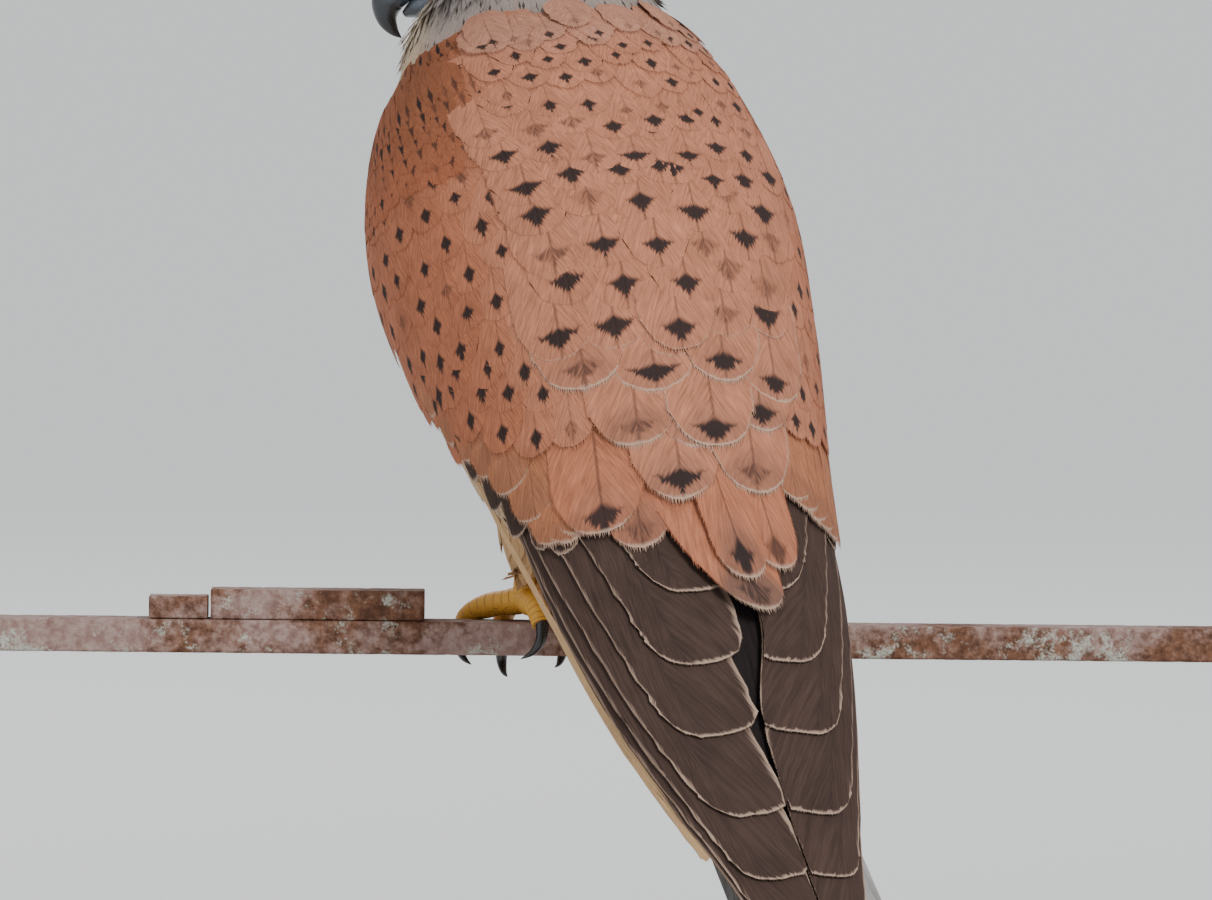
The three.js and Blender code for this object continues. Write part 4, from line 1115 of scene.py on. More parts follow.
def bodyLook(points, u, phi):  # tint and mark over neck, body and thighs
    n = len(points)
    a = np.abs(phi)
    back = 1 - ramp(a, 70, 100)
    mottled = u + 0.13 * np.sin(points[:, 0] * 1.7) * np.sin(points[:, 1] * 2.1 + points[:, 2])
    nape = ramp(-mottled, -1.8, -1.2)
    hood = 0.5 * ramp(-mottled, -1.35, -0.7)
    above = painted(painted(np.array(paint["salmon"]), "nape", nape), "headGrey", hood)
    below = painted(np.array(paint["breast"]), "vent", ramp(u, 3.8, 5.4))
    below = painted(below, "cream", ramp(-u, -1.5, -0.8))
    shoulder = ramp(a, 45, 55) * (1 - ramp(a, 98, 112)) * ramp(u, 1.2, 1.8)
    tint = painted(mix(below, above, back[:, None]), "rufous", 0.85 * shoulder)
    streak = (1 - back) * (1 - ramp(u, 4.2, 5.2)) * ramp(u, 0.9, 1.6)
    flank = ramp(-a, -150, -118)
    mark = np.stack([
        np.full(n, 0.66), mix(0.26, 0.38, flank), mix(0.30, 0.15, flank),
        np.clip(streak + 0.75 * back, 0, 1)], 1)
    return tint, mark


def thighDistance(points, side):
    line = legPoint(legs["thigh"], side)
    return np.min(np.linalg.norm(points[:, None] - line[None], axis=2), axis=1)


def lieOf(points, normals, u, phi, share):  # which way the plumage lies
    down = unit(outline(np.minimum(u + 0.1, 10), phi) - outline(u, phi), 1e-9)
    # up over the forehead, down behind it
    f, _, up = inHead(points)
    rise = mix(-0.45, 0.7, ramp(f, 3, 12) * ramp(up, -4, 3))[:, None]
    onHead = unit(-headForward[None, :] + rise * headUp[None, :])
    lie = mix(down, onHead, share[:, None])
    for side in (-1, 1):
        line = legPoint(legs["thigh"], side)
        downThigh = unit(line[-1] - line[0])
        near = ramp(-thighDistance(points, side) / 14, -1.3, -0.9) * ramp(-points[:, 2], -40, -30)
        lie = mix(lie, downThigh[None, :], near[:, None])
    return unit(lie - normals * np.einsum("ij,ij->i", lie, normals)[:, None], 1e-9)


def coverOf(points, u, phi, share, thigh):  # where each coat grows, as a 0 to 1 of every point
    a = np.abs(phi)
    eyeGap = np.ones(len(points))
    for side in (-1, 1):
        middle = headPoint(eye["at"][0], side * eye["at"][1], eye["at"][2])
        eyeGap *= ramp(np.linalg.norm(points - middle, axis=1), 5.35, 5.8)
    face = 1 - ramp(-inHead(points)[0], -18.4, -17.6)
    underMantle = (1 - ramp(a, 52, 60)) * ramp(u, 1.75, 2.1)
    underWing = ramp(a, 46, 56) * (1 - ramp(a, 94, 106)) * ramp(u, 2.2, 2.6)
    body = (1 - share) * (1 - np.maximum(underMantle, underWing)) * (1 - ramp(u, 6.2, 6.6))
    return {
        "coverHead": (share > 0.5) * eyeGap * (1 - face * 0.999),
        "coverNeck": (share <= 0.5) * (u < np.where(a < 80, 2.2, 1.75)) * (1 - thigh),
        "coverBreast": (body > 0.3) * (u >= 1.75) * (u < 3.4) * (thigh < 0.5),
        "coverBelly": (body > 0.3) * (u >= 3.4) * (thigh < 0.5),
        "coverThigh": thigh >= 0.5,
    }


def makeSkin():
    mesh = makeSkinMesh()
    n = len(mesh.vertices)
    points = fromRow(readVectors(mesh.vertices, "co", n))
    normals = readVectors(mesh.vertex_normals, "vector", n) @ yawMatrix
    u, phi = stationsOf(points)
    share = headShare(points)
    thigh = np.zeros(n)
    for side in (-1, 1):
        near = thighDistance(points, side)
        thigh = np.maximum(thigh, ramp(-near, -15, -12) * ramp(-points[:, 2], -42, -34))
    bodyTint, bodyMark = bodyLook(points, u, phi)
    headTint, headMark = headLook(points)
    mark = mix(bodyMark, headMark, share[:, None])
    mark[:, 3] *= 1 - thigh
    setColours(mesh, "tint", painted(mix(bodyTint, headTint, share[:, None]), "buff", thigh))
    setColours(mesh, "mark", mark)
    setVectors(mesh, "lie", toRowVector(lieOf(points, normals, u, phi, share)))
    # unwrap of the skin's own shape: round the body by down it, with the head in its own corner
    f, s, up = inHead(points)
    bodyUv = np.stack([(phi + 180) / 360 * 0.6 + 0.01, 0.98 - u / 8 * 0.96], 1)
    around = np.arctan2(s, up) / math.pi * 0.5 + 0.5
    headUv = np.stack([0.64 + 0.34 * around, 0.52 + 0.44 * np.clip((f + 26) / 46, 0, 1)], 1)
    rootUv = np.where(share[:, None] > 0.5, headUv, bodyUv)
    setVectors(mesh, "rootUv", np.concatenate([rootUv, np.zeros((n, 1))], 1))
    covers = coverOf(points, u, phi, share, thigh)
    for name, values in covers.items():
        setFloats(mesh, name, values)
    # smallest on the face
    grow = mix(1.0, mix(0.55, 1.15, ramp(-f, -16, 12)), share)
    setFloats(mesh, "grow", grow * mix(1.0, 0.8, thigh * ramp(-points[:, 2], -22, -12)))
    m = Material("skin", roughness=0.8, specular=0.15)
    streaks = m.noise(900.0, detail=3.0)
    colour = m.tone(m.attribute("tint"), 0.45 + 0.3 * streaks)
    material = m.finish(colour, normal=m.bump(streaks, 0.0003, 0.6))
    replaced = ("torso", "neck", "head", "thigh_left", "thigh_right")
    return addPiece("skin", mesh, material, replaced)


# Small feathers, grown over the skin
def makeTuft(name, length, half, rows, columns, ragged, curl=0.10, thick=0.07):
    y = (1 - (1 - np.linspace(0, 1, rows)) ** 1.4)[:, None]
    x = np.linspace(-1, 1, columns)[None, :]
    true = y - 0.28 * (1 - np.sqrt(1 - 0.97 * x * x)) * y ** 3
    width = (0.5 + 0.5 * ramp(y, 0, 0.35)) * (1 - 0.25 * y ** 4) * half
    notch = (y == 1) * (np.arange(columns) % 2)[None, :] * ragged
    true = true - notch
    high = -curl * length * y * y * 0.5 - 0.08 * half * x * x
    upper = np.stack([x * width, true * length, high + 0 * x], -1)
    lower = upper - np.array([0, 0, thick]) * (1 - x * x)[..., None]
    edge = np.minimum((1 - np.abs(x)) * width, (1 - y) * length)
    vane = np.stack([x + 0 * y, true, edge], -1)
    inner, quads = vaneFaces(rows, columns)
    points = np.concatenate([upper.reshape(-1, 3), lower[inner]]) / 1000
    mesh = meshOf(name, points, quads[:, ::-1])
    setVectors(mesh, "vane", np.concatenate([vane.reshape(-1, 3), vane[inner]]))
    return bpy.data.objects.new(name, mesh)


def tuftTree():
    tree = bpy.data.node_groups.new("feather coat", "GeometryNodeTree")
    sockets = tree.interface
    sockets.new_socket("Geometry", in_out="INPUT", socket_type="NodeSocketGeometry")
    for name, kind in (("Feather", "NodeSocketObject"), ("Material", "NodeSocketMaterial"),
                       ("Cover", "NodeSocketString"), ("Spacing", "NodeSocketFloat"),
                       ("Tilt", "NodeSocketFloat"), ("Seed", "NodeSocketInt")):
        sockets.new_socket(name, in_out="INPUT", socket_type=kind)
    sockets.new_socket("Geometry", in_out="OUTPUT", socket_type="NodeSocketGeometry")
    nodes, links = tree.nodes, tree.links

    def node(kind, settings=None, values=None):
        n = nodes.new(kind)
        for key, value in (settings or {}).items():
            setattr(n, key, value)
        for key, value in (values or {}).items():
            if isinstance(value, bpy.types.NodeSocket):
                links.new(value, n.inputs[key])
            else:
                n.inputs[key].default_value = value
        return n

    def named(kind, name):
        n = node("GeometryNodeInputNamedAttribute", {"data_type": kind})
        if isinstance(name, bpy.types.NodeSocket):
            links.new(name, n.inputs["Name"])
        else:
            n.inputs["Name"].default_value = name
        return n.outputs["Attribute"]

    def maths(operation, *values):
        return node("ShaderNodeMath", {"operation": operation}, dict(enumerate(values))).outputs[0]

    def chance(low, high, seedShift):
        seed = maths("ADD", given.outputs["Seed"], float(seedShift))
        n = node("FunctionNodeRandomValue", {"data_type": "FLOAT"}, {"Seed": seed})
        n.inputs[2].default_value = low
        n.inputs[3].default_value = high
        return n.outputs[1]

    given = node("NodeGroupInput")
    spread = node("GeometryNodeDistributePointsOnFaces", {"distribute_method": "POISSON"}, {
        "Mesh": given.outputs["Geometry"], "Distance Min": given.outputs["Spacing"],
        "Density Max": 4e6, "Density Factor": named("FLOAT", given.outputs["Cover"]),
        "Seed": given.outputs["Seed"]})
    upright = node("FunctionNodeAlignRotationToVector", {"axis": "Z"}, {"Vector": spread.outputs["Normal"]})
    lying = node("FunctionNodeAlignRotationToVector", {"axis": "Y", "pivot_axis": "Z"},
                 {"Rotation": upright.outputs[0], "Vector": named("FLOAT_VECTOR", "lie")})
    lean = node("ShaderNodeCombineXYZ", values={
        "X": maths("MULTIPLY", given.outputs["Tilt"], chance(0.8, 1.2, 1)),
        "Y": chance(-0.05, 0.05, 2), "Z": chance(-0.12, 0.12, 3)})
    turned = node("FunctionNodeRotateRotation", {"rotation_space": "LOCAL"}, {"Rotation": lying.outputs[0]})
    euler = node("FunctionNodeEulerToRotation", values={"Euler": lean.outputs[0]})
    links.new(euler.outputs[0], turned.inputs["Rotate By"])
    trim = node("FunctionNodeCombineColor", values={
        "Red": 0.0, "Green": 0.16, "Blue": chance(0, 1, 4), "Alpha": 0.0})
    kept = node("GeometryNodeStoreNamedAttribute", {"data_type": "FLOAT_COLOR", "domain": "POINT"}, {
        "Geometry": spread.outputs["Points"], "Name": "trim", "Value": trim.outputs[0]})
    # marks on some of the feathers only, fainter on the rest
    asked = node("FunctionNodeSeparateColor", values={"Color": named("FLOAT_COLOR", "mark")})
    some = maths("MULTIPLY_ADD", maths("GREATER_THAN", chance(0, 1, 6), 0.62), 0.8, 0.2)
    mark = node("FunctionNodeCombineColor", values={
        "Red": asked.outputs[0], "Green": asked.outputs[1], "Blue": asked.outputs[2],
        "Alpha": maths("MULTIPLY", asked.outputs[3], some)})
    kept = node("GeometryNodeStoreNamedAttribute", {"data_type": "FLOAT_COLOR", "domain": "POINT"}, {
        "Geometry": kept.outputs[0], "Name": "mark", "Value": mark.outputs[0]})
    faced = node("GeometryNodeStoreNamedAttribute", {"data_type": "FLOAT_VECTOR", "domain": "POINT"}, {
        "Geometry": kept.outputs[0], "Name": "facing", "Value": spread.outputs["Normal"]})
    feather = node("GeometryNodeObjectInfo", values={"Object": given.outputs["Feather"]})
    placed = node("GeometryNodeInstanceOnPoints", values={
        "Points": faced.outputs[0], "Instance": feather.outputs["Geometry"], "Rotation": turned.outputs[0],
        "Scale": maths("MULTIPLY", named("FLOAT", "grow"), chance(0.85, 1.15, 5))})
    real = node("GeometryNodeRealizeInstances", values={"Geometry": placed.outputs[0]})
    coloured = node("GeometryNodeSetMaterial", values={
        "Geometry": real.outputs[0], "Material": given.outputs["Material"]})
    out = node("NodeGroupOutput")
    links.new(coloured.outputs[0], out.inputs[0])
    return tree


coats = (  # cover, piece, slot, spacing mm, tilt, tuft (length, half width, rows, columns, ragged)
    ("coverHead", "head_feathers", "head_feathers", 0.62, 0.085, (5.4, 0.50, 4, 3, 0.0)),
    ("coverNeck", "neck_feathers", "head_feathers", 1.24, 0.06, (10.0, 1.0, 5, 5, 0.12)),
    ("coverBreast", "breast_feathers", "breast_feathers", 1.8, 0.06, (13.0, 2.4, 5, 7, 0.09)),
    ("coverBelly", "belly_feathers", "breast_feathers", 2.1, 0.06, (15.0, 2.9, 5, 7, 0.09)),
    ("coverThigh", "thigh_feathers", "breast_feathers", 1.6, 0.09, (10.0, 1.6, 5, 5, 0.10)),
)


tuftPatch = 0.003  # a tuft's share of the bake map


def growCoats(skin):
    tree = tuftTree()
    sockets = {item.name: item.identifier for item in tree.interface.items_tree if item.in_out == "INPUT"}
    for k, (cover, name, slot, spacing, tilt, tuft) in enumerate(coats):
        feather = makeTuft(f"{name}_one", *tuft)
        carrier = bpy.data.objects.new(f"{name}_skin", skin.data.copy())
        bpy.context.scene.collection.objects.link(carrier)
        grown = carrier.modifiers.new("coat", "NODES")
        grown.node_group = tree
        given = {"Feather": feather, "Material": plumage, "Cover": cover, "Spacing": spacing / 1000,
                 "Tilt": tilt, "Seed": 11 + k}
        for key, value in given.items():
            grown[sockets[key]] = value
        mesh = evaluated(carrier)
        bpy.data.objects.remove(carrier)
        facing, root, vane = (readVectors(mesh.attributes[key].data, "vector", len(mesh.vertices))
                              for key in ("facing", "rootUv", "vane"))
        cell = np.stack([vane[:, 0] * 0.5, vane[:, 1] - 0.5], 1) * tuftPatch
        setUv(mesh, "OFBake", root[:, :2] + cell)
        for spare in ("rootUv", "lie", "grow", "facing", *[c[0] for c in coats]):
            if spare in mesh.attributes:
                mesh.attributes.remove(mesh.attributes[spare])
        mesh.name = name
        smoothFaces(mesh)
        setNormals(mesh, facing)
        addPiece(name, mesh, plumage)


skin = makeSkin()
growCoats(skin)
print("coat grown")


# Tail: twelve feathers, grey with a black band and white tips, and the coverts over their roots
def layTail(group, *, root, tip, centre, fan, half, lift, tint, mark, trim, form="long", inner=None):
    x, y, wide, edge = featherGrid(form, half, (tip - root) * tailLength, 0.7, 0.12, 0.7)
    down = root + (tip - root) * y
    across = centre + fan * y + wide
    if inner:
        across = np.sign(centre) * np.maximum(np.sign(centre) * across, inner)
    high = lift - 0.04 * (across - centre) * np.sign(centre)
    upper = tailPoint(down, across, high)
    lower = tailPoint(down, across, high - tail["thick"] * (1 - x * x))
    group.add(upper[:, ::-1], lower[:, ::-1], np.stack([x, y, edge], -1)[:, ::-1], (tint, mark, trim),
              np.zeros(upper.shape), 0.3)


def makeTail():
    group = Plumes()
    for rank in range(tail["rank"]):
        middle = rank == 0
        for side in (1, -1):
            level = (0 if side > 0 else 1) if middle else rank + 1
            layTail(
                group, root=0.12, tip=1 - tail["graduation"] * rank, half=tail["half"],
                centre=side * (2.2 if middle else 8.3), inner=None if middle else 0.4,
                fan=side * (0.6 if middle else tail["fan"] * (rank - 0.5)), lift=-tail["step"] * level,
                tint=tinted("tail", 0.04), mark=(0.89, 6.0, 0.055, 1.0), trim=(1.6, 0.3, rng.random(), 0.0))
    under = -tail["step"] * (tail["rank"] + 1.4)
    for n in range(-2, 3):
        layTail(
            group, root=0.02, tip=0.36 - 0.03 * abs(n), centre=4.6 * n, fan=0.01, half=4.6, form="short",
            lift=1.4 - 0.2 * abs(n), tint=tinted("tail"),
            mark=(0.9, 0.2, 0.05, 0.6), trim=(0.2, 0.3, 0.5, 0.5))
        for row, tip in enumerate((0.5, 0.4, 0.3, 0.2)):
            layTail(
                group, root=tip - 0.26, tip=tip - 0.04 * abs(n), centre=4.6 * (n + 0.5 * (row % 2)),
                fan=0.01, half=4.8, form="short", lift=under - 0.9 * row, tint=tinted("vent"),
                mark=(0.9, 0.2, 0.05, 0.0), trim=(0.0, 0.15, rng.random(), 0.0))
    return group.piece("tail_feathers", "tail_feathers", ("tail",))


makeTail()


# Head parts: eyes, lids, bill, cere and mouth line
bill = {
    "upper": {
        "forward": [20.6, 22.6, 25, 27.6, 28.7, 28.2, 27.0],
        "up": [0.9, 0.6, -0.3, -2.6, -5.8, -8.8, -11.0],
        "halfWidth": [4.9, 4.7, 4.1, 3.1, 2.1, 1.15, 0.12],
        "halfHeight": [4.3, 4.4, 4.3, 3.6, 2.4, 1.25, 0.12],
        "ridge": 0.22,
    },
    "lower": {
        "forward": [17.0, 19.5, 22, 24.4], "up": [-5.3, -5.6, -5.9, -6.2],
        "halfWidth": [5.3, 4.8, 4.0, 2.3], "halfHeight": [2.6, 2.5, 2.1, 0.9], "ridge": -0.15,
    },
    "cere": {
        "forward": [15.8, 17.6, 19.2, 20.6, 21.6], "up": [1.4, 1.2, 1.05, 0.95, 0.85],
        "halfWidth": [5.6, 6.1, 6.1, 5.7, 4.9], "halfHeight": [4.6, 5.0, 5.1, 4.85, 4.2], "ridge": 0.12,
    },
    "nostril": {"forward": 19.5, "up": 2.3, "radius": 1.0},
    "tooth": {"at": 0.56, "drop": 0.45},
    "gape": [[20, 5.0, -3.0], [18.2, 7.0, -3.5], [16.3, 8.9, -4.0], [14.4, 10.6, -4.5]],
    "gapeRadii": [0.4, 0.46, 0.42, 0.15],
}


def hornRings(shape, steps=40, around=40):
    last = len(shape["forward"]) - 1
    s = np.linspace(0, last, steps)
    slope = np.arctan2(along(shape["up"], s + 0.05) - along(shape["up"], s - 0.05),
                       along(shape["forward"], s + 0.05) - along(shape["forward"], s - 0.05))
    slope[-1] = slope[-2]
    a = np.radians(np.arange(around) * 360 / around)[None, :]
    high = along(shape["halfHeight"], s)[:, None] * np.cos(a)
    wide = along(shape["halfWidth"], s)[:, None] * np.sin(a) * (1 - shape["ridge"] * np.cos(a))
    if "tooth" in shape:
        t = (s / last)[:, None]
        low = np.exp(-((np.cos(a) + 0.75) / 0.3) ** 2)
        high = high - shape["tooth"]["drop"] * low * np.exp(-((t - shape["tooth"]["at"]) / 0.05) ** 2)
    forward = along(shape["forward"], s)[:, None] - high * np.sin(slope)[:, None]
    up = along(shape["up"], s)[:, None] + high * np.cos(slope)[:, None]
    return forward + 0 * wide, wide, up, s / last


def makeHornMaterial():
    m = Material("bill horn", roughness=0.28, fixed={"Coat Weight": 0.25, "Coat Roughness": 0.2})
    down = m.attribute("down", "Fac")
    growth = m.noise(700.0, m.joined(down * 0.04, 0.0, 0.0), 3.0) - 0.5
    cloud = m.noise(420.0, detail=4.0) - 0.5
    stops = ((0.0, (0.20, 0.24, 0.30)), (0.26, (0.13, 0.16, 0.21)), (0.48, (0.034, 0.039, 0.048)),
             (0.75, (0.011, 0.011, 0.013)))
    colour = m.node("ShaderNodeValToRGB", {"stops": stops}, {"Fac": down + cloud * 0.16 + growth * 0.1})
    normal = m.bump(growth * 0.6 + cloud, 0.0002, 0.35)
    return m.finish(colour, roughness=0.26 + cloud * 0.12, normal=normal)


def makeBareSkin(name, light, deep, scale, roughness=0.45, under=None):
    m = Material(name, roughness=roughness, specular=0.45, fixed={
        "Coat Weight": 0.08, "Coat Roughness": 0.4, "Subsurface Weight": 0.12, "Subsurface Scale": 0.0012})
    grain = m.cells(scale)
    cloud = m.noise(scale * 0.35, detail=4.0) - 0.5
    colour = m.blend((0.5 + cloud * 1.3 - grain * 0.6).smooth(0.1, 0.9), deep, light)
    # under is painted shade: a near-black colour over the ring's walls below its rim, where they meet the
    # eyeball and the head
    if under:
        colour = m.blend(m.attribute("low", "Fac"), colour, under)
    normal = m.bump(grain * -1.0, 0.00022, 0.7)
    return m.finish(colour, roughness=roughness + cloud * 0.2, normal=normal)


def eyeFrame(side):
    a = math.radians(eye["turn"])
    axis = headSide * side * math.cos(a) + headForward * math.sin(a)
    flat = unit(np.cross(headUp, axis))
    return headPoint(eye["at"][0], side * eye["at"][1], eye["at"][2]), axis, flat, np.cross(axis, flat)


lids = {  # section of the ring: distance from the eye's axis and height along it
    "section": [(4.5, -1.2), (4.3, 2.4), (4.06, 3.45), (4.16, 3.84), (4.45, 3.98), (4.78, 3.85),
                (5.05, 3.45), (5.18, 2.7), (5.3, 0.6), (5.25, -1.2)],
    "flatTop": 0.12, "long": 0.05,
}


def makeEyeMaterial():  # black pupil, dark brown iris, and dark again at its rim
    m = Material("eye", roughness=0.05, specular=0.42)
    threads = m.noise(2600.0, detail=3.0) - 0.5
    pupil, iris = eye["pupil"], eye["iris"]
    stops = (
        (0.0, (0.002, 0.002, 0.002)), (pupil - 0.06, (0.003, 0.002, 0.002)), (pupil, (0.040, 0.014, 0.006)),
        (iris - 0.14, (0.028, 0.010, 0.004)), (iris, (0.006, 0.004, 0.003)))
    out = m.attribute("out", "Fac")
    return m.finish(m.node("ShaderNodeValToRGB", {"stops": stops}, {"Fac": out + threads * 0.05}))


def makeEyeball(middle, axis, around):
    steps = np.radians(np.linspace(4, 176, 36))
    swell = 1 + 0.05 * np.exp(-(steps / 0.5) ** 2)
    swell = swell * (1 - 0.2 * ramp(steps, 0.9, 1.4))  # stays inside the lids
    rings = [middle + eye["radius"] * r * (axis * math.cos(t) + around * math.sin(t))
             for t, r in zip(steps, swell)]
    mesh = loftMesh("eyeball", rings)
    fromAxis = np.where(steps < np.pi / 2, np.sin(steps), 1.0)
    setFloats(mesh, "out", np.concatenate([np.repeat(fromAxis, len(around)), [0, 1]]))
    return mesh


def makeLids(middle, axis, around, turns):
    section = np.array(lids["section"])
    fine = np.linspace(0, len(section), 19)[:-1]
    loop = np.concatenate([section[-1:], section, section[:2]])
    rho = along(loop[:, 0], fine + 1)
    high = along(loop[:, 1], fine + 1)
    points = []
    for t, way in zip(turns, around):
        top = max(math.sin(t), 0) ** 2
        wide = 1 - lids["flatTop"] * top + lids["long"] * math.cos(t) ** 2
        wrinkle = 1 + 0.012 * math.sin(t * 23) + 0.008 * math.sin(t * 41 + 1)
        points.append(middle + (rho * wide * wrinkle)[:, None] * way + (high + 0.25 * top)[:, None] * axis)
    rows, columns = len(turns), len(fine)
    i, j = np.meshgrid(np.arange(rows), np.arange(columns), indexing="ij")
    low, far = i * columns, (i + 1) % rows * columns
    after = (j + 1) % columns
    quads = np.stack([low + j, low + after, far + after, far + j], -1).reshape(-1, 4)
    points = np.concatenate(points)
    quads = outward(points, quads, np.zeros((0, 3), int))[0]
    mesh = meshOf("lids", toRow(points), quads)
    # low marks the ring's walls below its rim, which the lid material darkens as painted shade
    setFloats(mesh, "low", ramp(-np.tile(high, rows), -2.9, -2.2))
    return mesh


def makeEyes():
    eyeMaterial = makeEyeMaterial()
    # orbital skin, with near-black painted shade on the ring's lower walls
    skinMaterial = makeBareSkin(
        "orbital skin", (0.80, 0.50, 0.06), (0.55, 0.30, 0.03), 2600.0, under=(0.05, 0.048, 0.05))
    turns = np.arange(48) * 2 * np.pi / 48
    for sideName, side in sides:
        middle, axis, flat, tall = eyeFrame(side)
        around = np.cos(turns)[:, None] * flat + np.sin(turns)[:, None] * tall
        mesh = makeEyeball(middle, axis, around)
        addPiece(f"eyeball_{sideName}", mesh, eyeMaterial, (f"eye_{sideName}",))
        mesh = makeLids(middle, axis, around, turns)
        addPiece(f"lids_{sideName}", mesh, skinMaterial, (f"eyelids_{sideName}",))


def makeBill():
    horn = makeHornMaterial()
    yellow = makeBareSkin("cere skin", (0.78, 0.47, 0.06), (0.50, 0.27, 0.035), 1500.0)
    for name, part, node in (("upperBill", "upper", "bill_upper"), ("lowerBill", "lower", "bill_lower")):
        shape = dict(bill[part])
        if part == "upper":
            shape["tooth"] = bill["tooth"]
        f, s, u, t = hornRings(shape)
        mesh = loftMesh(name, headPoint(f, s, u))
        reach = 1.0 if part == "upper" else 0.7
        setFloats(mesh, "down", np.concatenate([np.repeat(t * reach, f.shape[1]), [0, 0.9]]))
        addPiece(name, mesh, horn, (node,))
    f, s, u, t = hornRings(bill["cere"], 44, 72)
    nostril = bill["nostril"]
    r = np.hypot(f - nostril["forward"], u - nostril["up"]) / nostril["radius"]
    hole = -1.1 * np.exp(-(r / 0.72) ** 4)
    sink = hole + 0.22 * patch(r, 1.25, 0.3) + 0.75 * np.exp(-(r / 0.3) ** 2)
    s = s + np.sign(s) * sink * ramp(np.abs(s), 1.0, 2.5)
    mesh = loftMesh("cereBand", headPoint(f, s, u))
    addPiece("cereBand", mesh, yellow, ("cere",))
    dark = Material("mouth line", roughness=0.5)
    darkLine = dark.finish((0.02, 0.012, 0.008), roughness=0.45 + 0.1 * dark.noise(900.0))
    folds = (("gapeUpper", 0.26, 1.0, yellow), ("gapeLower", -0.46, 0.9, yellow),
             ("mouthLine", -0.1, 0.5, darkLine))
    for sideName, side in sides:
        for name, lift, size, material in folds:
            line = np.array(bill["gape"], float) * [1, side, 1] + [0, 0, lift]
            points = headPoint(line[:, 0], line[:, 1], line[:, 2])
            radii = np.array(bill["gapeRadii"]) * size
            mesh = loftMesh(f"{name}_{sideName}", limbRings(points, radii, 24, 12))
            addPiece(f"{name}_{sideName}", mesh, material)


# Fine bristles between the eye and the cere, and round the gape
bristles = {
    "count": 80, "seed": 5, "forward": (11.5, 16.8), "up": (-3.6, 4.2), "length": (2.4, 4.4),
    "radii": [0.065, 0.05, 0.012],
}


def makeBristles():
    material = Material("bristle", roughness=0.5)
    shade = material.noise(800.0)
    black = material.finish(material.tone((0.02, 0.017, 0.016), 0.7 + 0.6 * shade))
    chosen = np.random.default_rng(bristles["seed"])
    for sideName, side in sides:
        meshes = []
        for k in range(bristles["count"]):
            f = chosen.uniform(*bristles["forward"])
            u = chosen.uniform(*bristles["up"])
            s = float(along(head["halfWidth"], np.interp(f, head["forward"], np.arange(8))))
            s = s * math.sqrt(max(1 - (u / 11) ** 2, 0.1))
            way = np.array([1.0, side * 0.42, 0.45 * u / 4 + chosen.uniform(-0.25, 0.35)])
            way = unit(way) * chosen.uniform(*bristles["length"])
            line = [[f - way[0] * 0.15, side * s * 0.97, u]]
            for t in (0.5, 1.0):
                line.append([f + way[0] * t, side * s + way[1] * t, u + way[2] * t + 0.5 * t * t])
            line = np.array(line)
            points = headPoint(line[:, 0], line[:, 1], line[:, 2])
            meshes.append(loftMesh(f"bristle{k}", limbRings(points, bristles["radii"], 5, 4)))
        mesh = joinedMesh(f"bristles_{sideName}", meshes)
        addPiece(f"bristles_{sideName}", mesh, black)


makeEyes()
makeBill()
makeBristles()
print("head parts ready")


# Feet: scaly toes and shanks, pads under the toes, and curved claws
def makeLegMaterial():
    m = Material("leg skin", roughness=0.5, specular=0.4, fixed={
        "Coat Weight": 0.06, "Coat Roughness": 0.4, "Subsurface Weight": 0.1, "Subsurface Scale": 0.001})
    ring, belly = m.parts(m.attribute("scute", "Vector"))[:2]
    cell = m.cells(1100.0, feature="DISTANCE_TO_EDGE").smooth(0.0, 0.12)
    cloud = m.noise(500.0, detail=4.0) - 0.5
    seam = (1.0 - (ring.fract() - 0.5).abs().smooth(0.40, 0.5)) * (1.0 - belly) + cell * belly
    raised = (seam * 0.75 + cloud * 0.9 + 0.2).smooth(0.0, 0.8)
    colour = m.blend(raised, (0.36, 0.145, 0.018), (0.76, 0.375, 0.045))
    return m.finish(colour, roughness=0.48 + cloud * 0.2, normal=m.bump(seam + cloud * 0.4, 0.0002, 0.7))


def makeClawMaterial():
    m = Material("claw horn", roughness=0.25, fixed={"Coat Weight": 0.3, "Coat Roughness": 0.15})
    streak = m.noise(700.0, detail=3.0) - 0.5
    colour = m.tone((0.014, 0.012, 0.012), 1.0 + streak)
    return m.finish(colour, roughness=0.27 + streak * 0.2, normal=m.bump(streak, 0.0001, 0.3))


def swell(pads, scutes):  # pads under a toe and scales over it
    def bulge(t, out):
        under = np.clip(-out[:, 2], 0, 1)
        over = np.clip(out[:, 2], 0, 1)
        pad = 0.16 * under * (0.5 - 0.5 * np.cos(2 * np.pi * pads * t)) if pads else 0
        return 1 + pad + 0.045 * over * (np.abs(np.sin(np.pi * scutes * t)) - 0.5)
    return bulge


def makeLimb(name, side, line, radii, steps, pads, scutes):
    around = 24
    rings = limbRings(legPoint(line, side), radii, steps, around, swell(pads, scutes))
    mesh = loftMesh(name, rings)
    t = np.repeat(np.linspace(0, 1, steps), around)
    height = (rings - rings.mean(1, keepdims=True)).reshape(-1, 3)[:, 2]
    belly = ramp(-height / np.abs(height).max(), -0.1, 0.5)
    ring = np.append(t * scutes, [0, scutes])
    setVectors(mesh, "scute", np.stack([ring, np.append(belly, [0, 0]), 0 * ring], 1))
    return mesh


